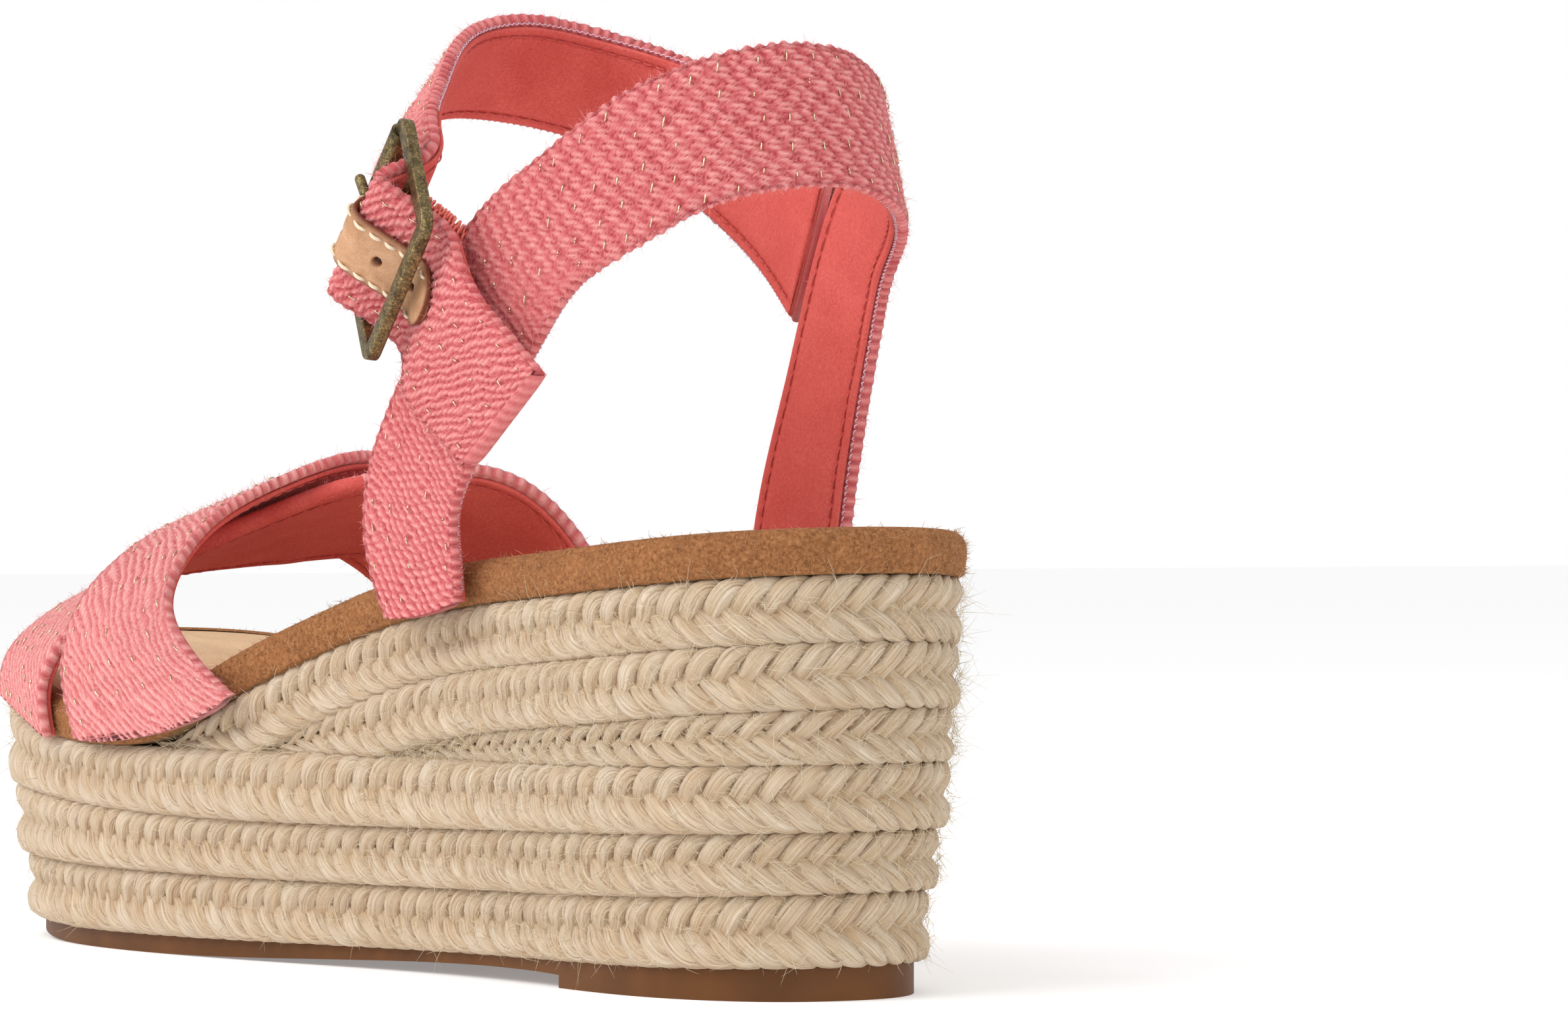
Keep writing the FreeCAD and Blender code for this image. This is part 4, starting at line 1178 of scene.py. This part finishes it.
def elastic():
    """Ribbed elastic: two sleeves round the centre bar and a ruffled band back to the heel strap.

    Its edges are a mass of small curls, helices of different size that lie along them.
    """
    build = Build()
    angle = np.arange(28) * TAU / 28
    for low, high in SLEEVES:
        y = np.linspace(low, high, 18)
        ys = np.concatenate([y, y[::-1]])
        rs = np.concatenate([2.2 + 0.06 * np.cos(y * 9), np.full(18, 1.12)])
        ring = (BUCKLE_MIDDLE + BAR_DIR * ys[:, None, None]
                + STRAP_DIR * (np.cos(angle)[None, :, None] * rs[:, None, None])
                + OUT_DIR * (np.sin(angle)[None, :, None] * rs[:, None, None]))
        build.grid(ring, wrap_u=True, wrap_v=True, uv=(2.0, 1.2))
    band = Strap([(at(0.8, -9, -1.9), at(0.8, 9, -1.9)), (at(6, -9.5, -6.0), at(6, 9.5, -6.0)),
                  ((58, -32.4, 112), (47, -32.4, 97)), ((63, -31.9, 107), (51.5, -31.9, 92.5))])
    rows, columns = 70, 34
    v = np.concatenate([np.linspace(0, 1, columns), np.linspace(1, 0, columns)])
    side = np.concatenate([np.zeros(columns), np.full(columns, -1.1)])
    uu, vv = np.meshgrid(np.linspace(0, band.length, rows), v, indexing="ij")
    ribs = 0.14 * np.cos(vv * TAU * 13)
    build.grid(band.at(uu, vv, side[None] + ribs), wrap_v=True, caps=True, uv=(1.5, 4.0))
    for edge, sign in EDGES:
        for out, size, pitch, high in CURLS:
            w = np.arange(0.3, band.length * 0.9, pitch / 10)
            turn = w * TAU / pitch + 3 * wobble(w, 0 * w, int(91 + 10 * size), 5.0)
            path = band.at(w, edge + sign * (out + size * np.cos(turn)) / BAND, high + size * np.sin(turn))
            tube(build, path, 0.22, 6)
    build.piece("elastic", ELASTIC, replaces=("elastic_loop",), slot="elastic_loop")


elastic()

# --- lurex and loose fibres -------------------------------------------------------------

def lurex(name, strap, seed, body=SANDAL, upright=False):
    """Short metallic dashes that show in the weave's gaps, on a loose grid.

    They run along the strap, or up and down when upright, and bulge a little in their middles.
    """
    rng = np.random.default_rng(seed)
    build = Build()
    step = 4.7
    width = strap.width.mean()
    t = np.linspace(-0.5, 0.5, 4)
    forward = unit(np.gradient((strap.front + strap.rear) / 2, axis=0))
    for along in np.arange(2.0, strap.length - 1.5, step):
        for across in np.arange(1.8, width - 1.0, step):
            if rng.uniform() < 0.25:
                continue
            shift_u, shift_x = rng.normal(0, 0.6, 2)
            long = rng.uniform(0.7, 1.6)
            tilt = rng.normal(0, 0.2)
            u, v = along + shift_u, (across + shift_x) / width
            k = strap.station(u)
            if upright:
                rise = forward[k] * forward[k][2] + strap.across[k] * strap.across[k][2]
                path = strap.at(np.full(4, u), np.full(4, v), np.full(4, 0.06)) + rise * (t * long)[:, None]
            else:
                path = strap.at(u + t * long, v + t * long * tilt / width, np.full(4, 0.06))
            tube(build, path + strap.normal[k] * (0.12 * np.cos(np.pi * t))[:, None], 0.13, 4)
    return build.piece(name, LUREX, body)


lurex("lurex_over", over, 31)
lurex("lurex_under", under, 32)
lurex("lurex_heel", heel, 33, upright=True)
bends(lurex("lurex_ankle", ankle, 34, None))


def hairs(name, roots, directions, long, radius, mat, seed, body=SANDAL, curl=0.35):
    """Loose fibres: each a thin tapering three-sided tube that starts at its root and curls away."""
    rng = np.random.default_rng(seed)
    count, rings, sides = len(roots), 3, 3
    t = np.linspace(0, 1, rings)
    size = long * rng.uniform(0.35, 1.0, count) ** 1.5
    bend = unit(rng.normal(size=(count, 3)))
    wave = unit(rng.normal(size=(count, 3)))
    line = (roots[:, None] + directions[:, None] * (t[None] * size[:, None])[..., None]
            + bend[:, None] * (t[None] ** 2 * size[:, None] * curl)[..., None]
            + wave[:, None] * (np.sin(t * np.pi * 1.5)[None] * size[:, None] * 0.12)[..., None])
    line[..., 2] = np.maximum(line[..., 2], 0.3)       # none reaches below the ground
    tangent = unit(np.gradient(line, axis=1))
    side = unit(np.cross(tangent, bend[:, None] + 0.01))
    other = np.cross(tangent, side)
    angle = np.arange(sides) * TAU / sides
    thick = radius * (1 - 0.8 * t)
    ring = (line[:, :, None] + (side[:, :, None] * np.cos(angle)[None, None, :, None]
                                + other[:, :, None] * np.sin(angle)[None, None, :, None])
            * thick[None, :, None, None])
    build = Build()
    pts = ring.reshape(-1, 3)
    build.verts.append(pts)
    build.relief.append(np.ones(len(pts)))
    base = np.arange(count)[:, None] * rings * sides
    ring_start, side_at = np.meshgrid(np.arange(rings - 1) * sides, np.arange(sides), indexing="ij")
    a, b = (ring_start + side_at).ravel(), (ring_start + (side_at + 1) % sides).ravel()
    cell = np.column_stack([a, b, b + sides, a + sides])
    build.quads.append((base[:, :, None] + cell[None]).reshape(-1, 4))
    build.quad_uv.append(np.broadcast_to(rng.uniform(0, 20, (count, 1, 1, 2)),
                                         (count, len(cell), 4, 2)).reshape(-1, 4, 2))
    last = rings * sides - 1
    for cap in ((2, 1, 0), (last - 2, last - 1, last)):
        build.tris.append(base + np.array(cap))
        build.tri_uv.append(np.zeros((count, 3, 2)))
    build.count = len(pts)
    return build.piece(name, mat, body)


rng = np.random.default_rng(77)


def rope_hairs(name, density, outward, long, seed):
    """Loose jute fibres, thicker towards the heel; outward is how far they stand off the plait."""
    roots, ways = [], []
    for centre, normal, half in rope_lines:
        count = int(density * lengths(centre)[-1] / 640.0)
        pick = rng.integers(0, len(centre), count)
        pick = pick[rng.uniform(size=count) < np.clip(0.4 + (centre[pick, 0] + 20) / 150, 0.3, 1.0)]
        z = np.zeros((len(pick), 3))
        z[:, 2] = half[pick] * rng.uniform(-0.95, 0.95, len(pick))
        roots.append(centre[pick] + z + normal[pick] * rng.uniform(1.7, 2.4, (len(pick), 1)))
        tangent = np.column_stack([-normal[pick, 1], normal[pick, 0], np.zeros(len(pick))])
        way = normal[pick] * rng.uniform(0.0, 1.0, (len(pick), 1)) * outward
        way += tangent * rng.normal(0, 1.0, (len(pick), 1))
        way[:, 2] += rng.normal(0.0, 0.8, len(pick))
        ways.append(unit(way))
    hairs(name, np.concatenate(roots), np.concatenate(ways), long, 0.048, JUTE_FUZZ, seed, curl=0.6)


rope_hairs("jute_hairs", 1900, 1.0, 5.5, 78)
rope_hairs("jute_wisps", 2300, 0.35, 3.6, 82)


def strap_fuzz(name, strap, seed, body=SANDAL):
    """Loose fibres: seven to a millimetre along each edge, and fifteen over the outer face."""
    roots, ways = [], []
    for edge, sign in EDGES:
        count = int(strap.length * 7)
        u = rng.uniform(0, strap.length, count)
        roots.append(strap.at(u, np.full(count, edge), rng.uniform(-WEBBING, 0.1, count)))
        ways.append(unit(strap.across[strap.station(u)] * sign + rng.normal(0, 0.6, (count, 3))))
    count = int(strap.length * 15)
    u = rng.uniform(0, strap.length, count)
    v = rng.uniform(0, 1, count)
    roots.append(strap.at(u, v, np.zeros(count)))
    ways.append(unit(strap.normal[strap.station(u)] * 0.5 + rng.normal(0, 0.6, (count, 3))))
    return hairs(name, np.concatenate(roots), np.concatenate(ways), 1.3, 0.04, PINK_FUZZ, seed, body,
                 curl=0.8)


strap_fuzz("over_fuzz", over, 79)
strap_fuzz("under_fuzz", under, 83)
strap_fuzz("heel_fuzz", heel, 84)
bends(strap_fuzz("ankle_fuzz", ankle, 85, None))


def suede_nap(count=9000):
    """Nap on the footbed's wrap, drawn in with its rounded shoulder above 5.2 mm."""
    pick = rng.integers(0, len(edge_line), count)
    up = rng.uniform(0.3, 7.0, count)
    drawn_in = np.clip(up - 5.2, 0, 2)[:, None] ** 1.3 * 0.7
    roots = np.column_stack([edge_line[pick] - edge_out[pick] * drawn_in, edge_base[pick] + up])
    ways = np.column_stack([edge_out[pick], rng.uniform(-0.6, 0.9, count)]) + rng.normal(0, 0.5, (count, 3))
    hairs("suede_nap", roots, unit(ways), 1.2, 0.06, SUEDE_FUZZ, 80, curl=0.8)


suede_nap()

# --- buckle frame ---------------------------------------------------------------------------

def buckle_frame():
    """Flat-sided bar bent into a rectangle, round where the roller turns, with a round centre bar.

    Its section is |x/a|^m + |y/b|^m = 1, with m from 2 where round to 7 where flat.
    """
    a, b, bend = BUCKLE_SHORT / 2, 14.0, 1.7
    corner = np.linspace(0, np.pi / 2, 9)
    rows = []
    for sx, sy, first in ((1, 1, 0.0), (-1, 1, 0.5), (-1, -1, 1.0), (1, -1, 1.5)):
        angle = corner + first * np.pi
        rows.append(np.column_stack([sx * (a - bend) + bend * np.cos(angle),
                                     sy * (b - bend) + bend * np.sin(angle)]))
    loop = np.concatenate(rows)
    loop = evenly(np.concatenate([loop, loop[:1]]), 0.4)[:-1]
    forward = tangents(loop, True)
    side = np.column_stack([forward[:, 1], -forward[:, 0]])
    roller = np.clip((-loop[:, 0] - a + 1.5) / 1.0, 0, 1) * np.clip((13.0 - np.abs(loop[:, 1])) / 0.6, 0, 1)
    m = (7 - 5 * roller)[:, None]
    wide = (1.32 - 0.24 * roller)[:, None]
    thick = (1.02 + 0.06 * roller)[:, None]
    ring = np.arange(48) * TAU / 48
    c, z = np.cos(ring)[None], np.sin(ring)[None]
    x = np.sign(c) * np.abs(c) ** (2 / m) * wide
    y = np.sign(z) * np.abs(z) ** (2 / m) * thick
    plane = loop[:, None] + side[:, None] * x[..., None]
    build = Build()
    surface = BUCKLE_MIDDLE + STRAP_DIR * plane[..., :1] + BAR_DIR * plane[..., 1:] + OUT_DIR * y[..., None]
    build.grid(surface, wrap_u=True, wrap_v=True, uv=(10, 1))
    bar = np.linspace(-13.8, 13.8, 40)[:, None] * BAR_DIR + BUCKLE_MIDDLE
    tube(build, bar, 1.0, 24)
    build.piece("frame", BRASS, "buckle", ("buckle_frame",), "antique_brass")


buckle_frame()

# --- CAD nodes that stay -------------------------------------------------------------------

for name, mat in (("outsole", RUBBER), ("roller", BRASS), ("prong", BRASS),
                  ("sole_core", FOAM), ("insole_board", BOARD), ("footbed_foam", FOAM)):
    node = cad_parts[name]
    node.data.materials.clear()
    node.data.materials.append(mat)

# --- floor, light and camera -----------------------------------------------------------------

mesh = bpy.data.meshes.new("floor")
mesh.from_pydata([(-6, -6, 0), (6, -6, 0), (6, 6, 0), (-6, 6, 0)], [], [(0, 1, 2, 3)])
floor = bpy.data.objects.new("floor", mesh)
bpy.context.scene.collection.objects.link(floor)
floor_mat, n, shade = material("pale_floor", Roughness=0.9,
                               **{"Base Color": grey(0.93), "Emission Color": grey(1.0),
                                  "Emission Strength": 0.26})
floor.data.materials.append(floor_mat)

bpy.context.scene.view_settings.view_transform = "Standard"

SKY = 0.74                    # soft light from all round
world = bpy.data.worlds.new("studio")
world.use_nodes = True
world.node_tree.nodes["Background"].inputs[0].default_value = (1, 1, 1, 1)
backdrop = Nodes(world.node_tree)
seen = backdrop.add("ShaderNodeLightPath").outputs["Is Camera Ray"]
glow = backdrop.math("ADD", backdrop.math("MULTIPLY", seen, 1.0 - SKY), SKY)
world.node_tree.links.new(glow, world.node_tree.nodes["Background"].inputs[1])
bpy.context.scene.world = world

AZIMUTH = np.radians(56.5)
DISTANCE = 1000.0
BACK = np.array([np.sin(AZIMUTH), -np.cos(AZIMUTH), 0.0])
RIGHT = np.array([np.cos(AZIMUTH), np.sin(AZIMUTH), 0.0])
AIM = np.array([107.0, 24.0, 72.7])
SHIFT = 27.2                  # how far the camera stands to the left of its aim
CAMERA_AT = AIM + BACK * DISTANCE - RIGHT * SHIFT
SENSOR = 36.0
VIEW_WIDTH = 238.0            # width of the view at the aim


def area_light(name, place, target, size, power):
    """A square light at place, turned to face target."""
    data = bpy.data.lights.new(name, "AREA")
    data.size = size
    data.energy = power
    obj = bpy.data.objects.new(name, data)
    bpy.context.scene.collection.objects.link(obj)
    place, target = Vector(place), Vector(target)
    obj.location = place
    obj.rotation_euler = (target - place).to_track_quat("-Z", "Y").to_euler()


to_camera, to_right = Vector(BACK), Vector(RIGHT)
up = Vector((0, 0, 1))
middle = Vector((0, 0, 0.06))
area_light("key", middle + to_camera * 0.7 - to_right * 0.9 + up * 1.1, middle, 1.2, 11)
toe = Vector((-0.08, -0.03, 0.06))
area_light("toe_light", toe + to_camera * 0.25 - to_right * 0.5 + up * 0.4, toe, 0.35, 1.3)
area_light("fill", middle + to_camera * 1.4 + to_right * 0.9 + up * 0.5, middle, 1.2, 4.5)

camera_data = bpy.data.cameras.new("camera")
camera_data.sensor_width = SENSOR
camera_data.lens = SENSOR * DISTANCE / VIEW_WIDTH
camera_data.clip_start = 0.05
camera_data.clip_end = 30.0
camera = bpy.data.objects.new("camera", camera_data)
bpy.context.scene.collection.objects.link(camera)
camera.matrix_world = Matrix(((RIGHT[0], 0, BACK[0], 0), (RIGHT[1], 0, BACK[1], 0),
                              (0, 1, 0, 0), (0, 0, 0, 1)))
camera.location = Vector((CAMERA_AT + ORIGIN) * MM)
bpy.context.scene.camera = camera
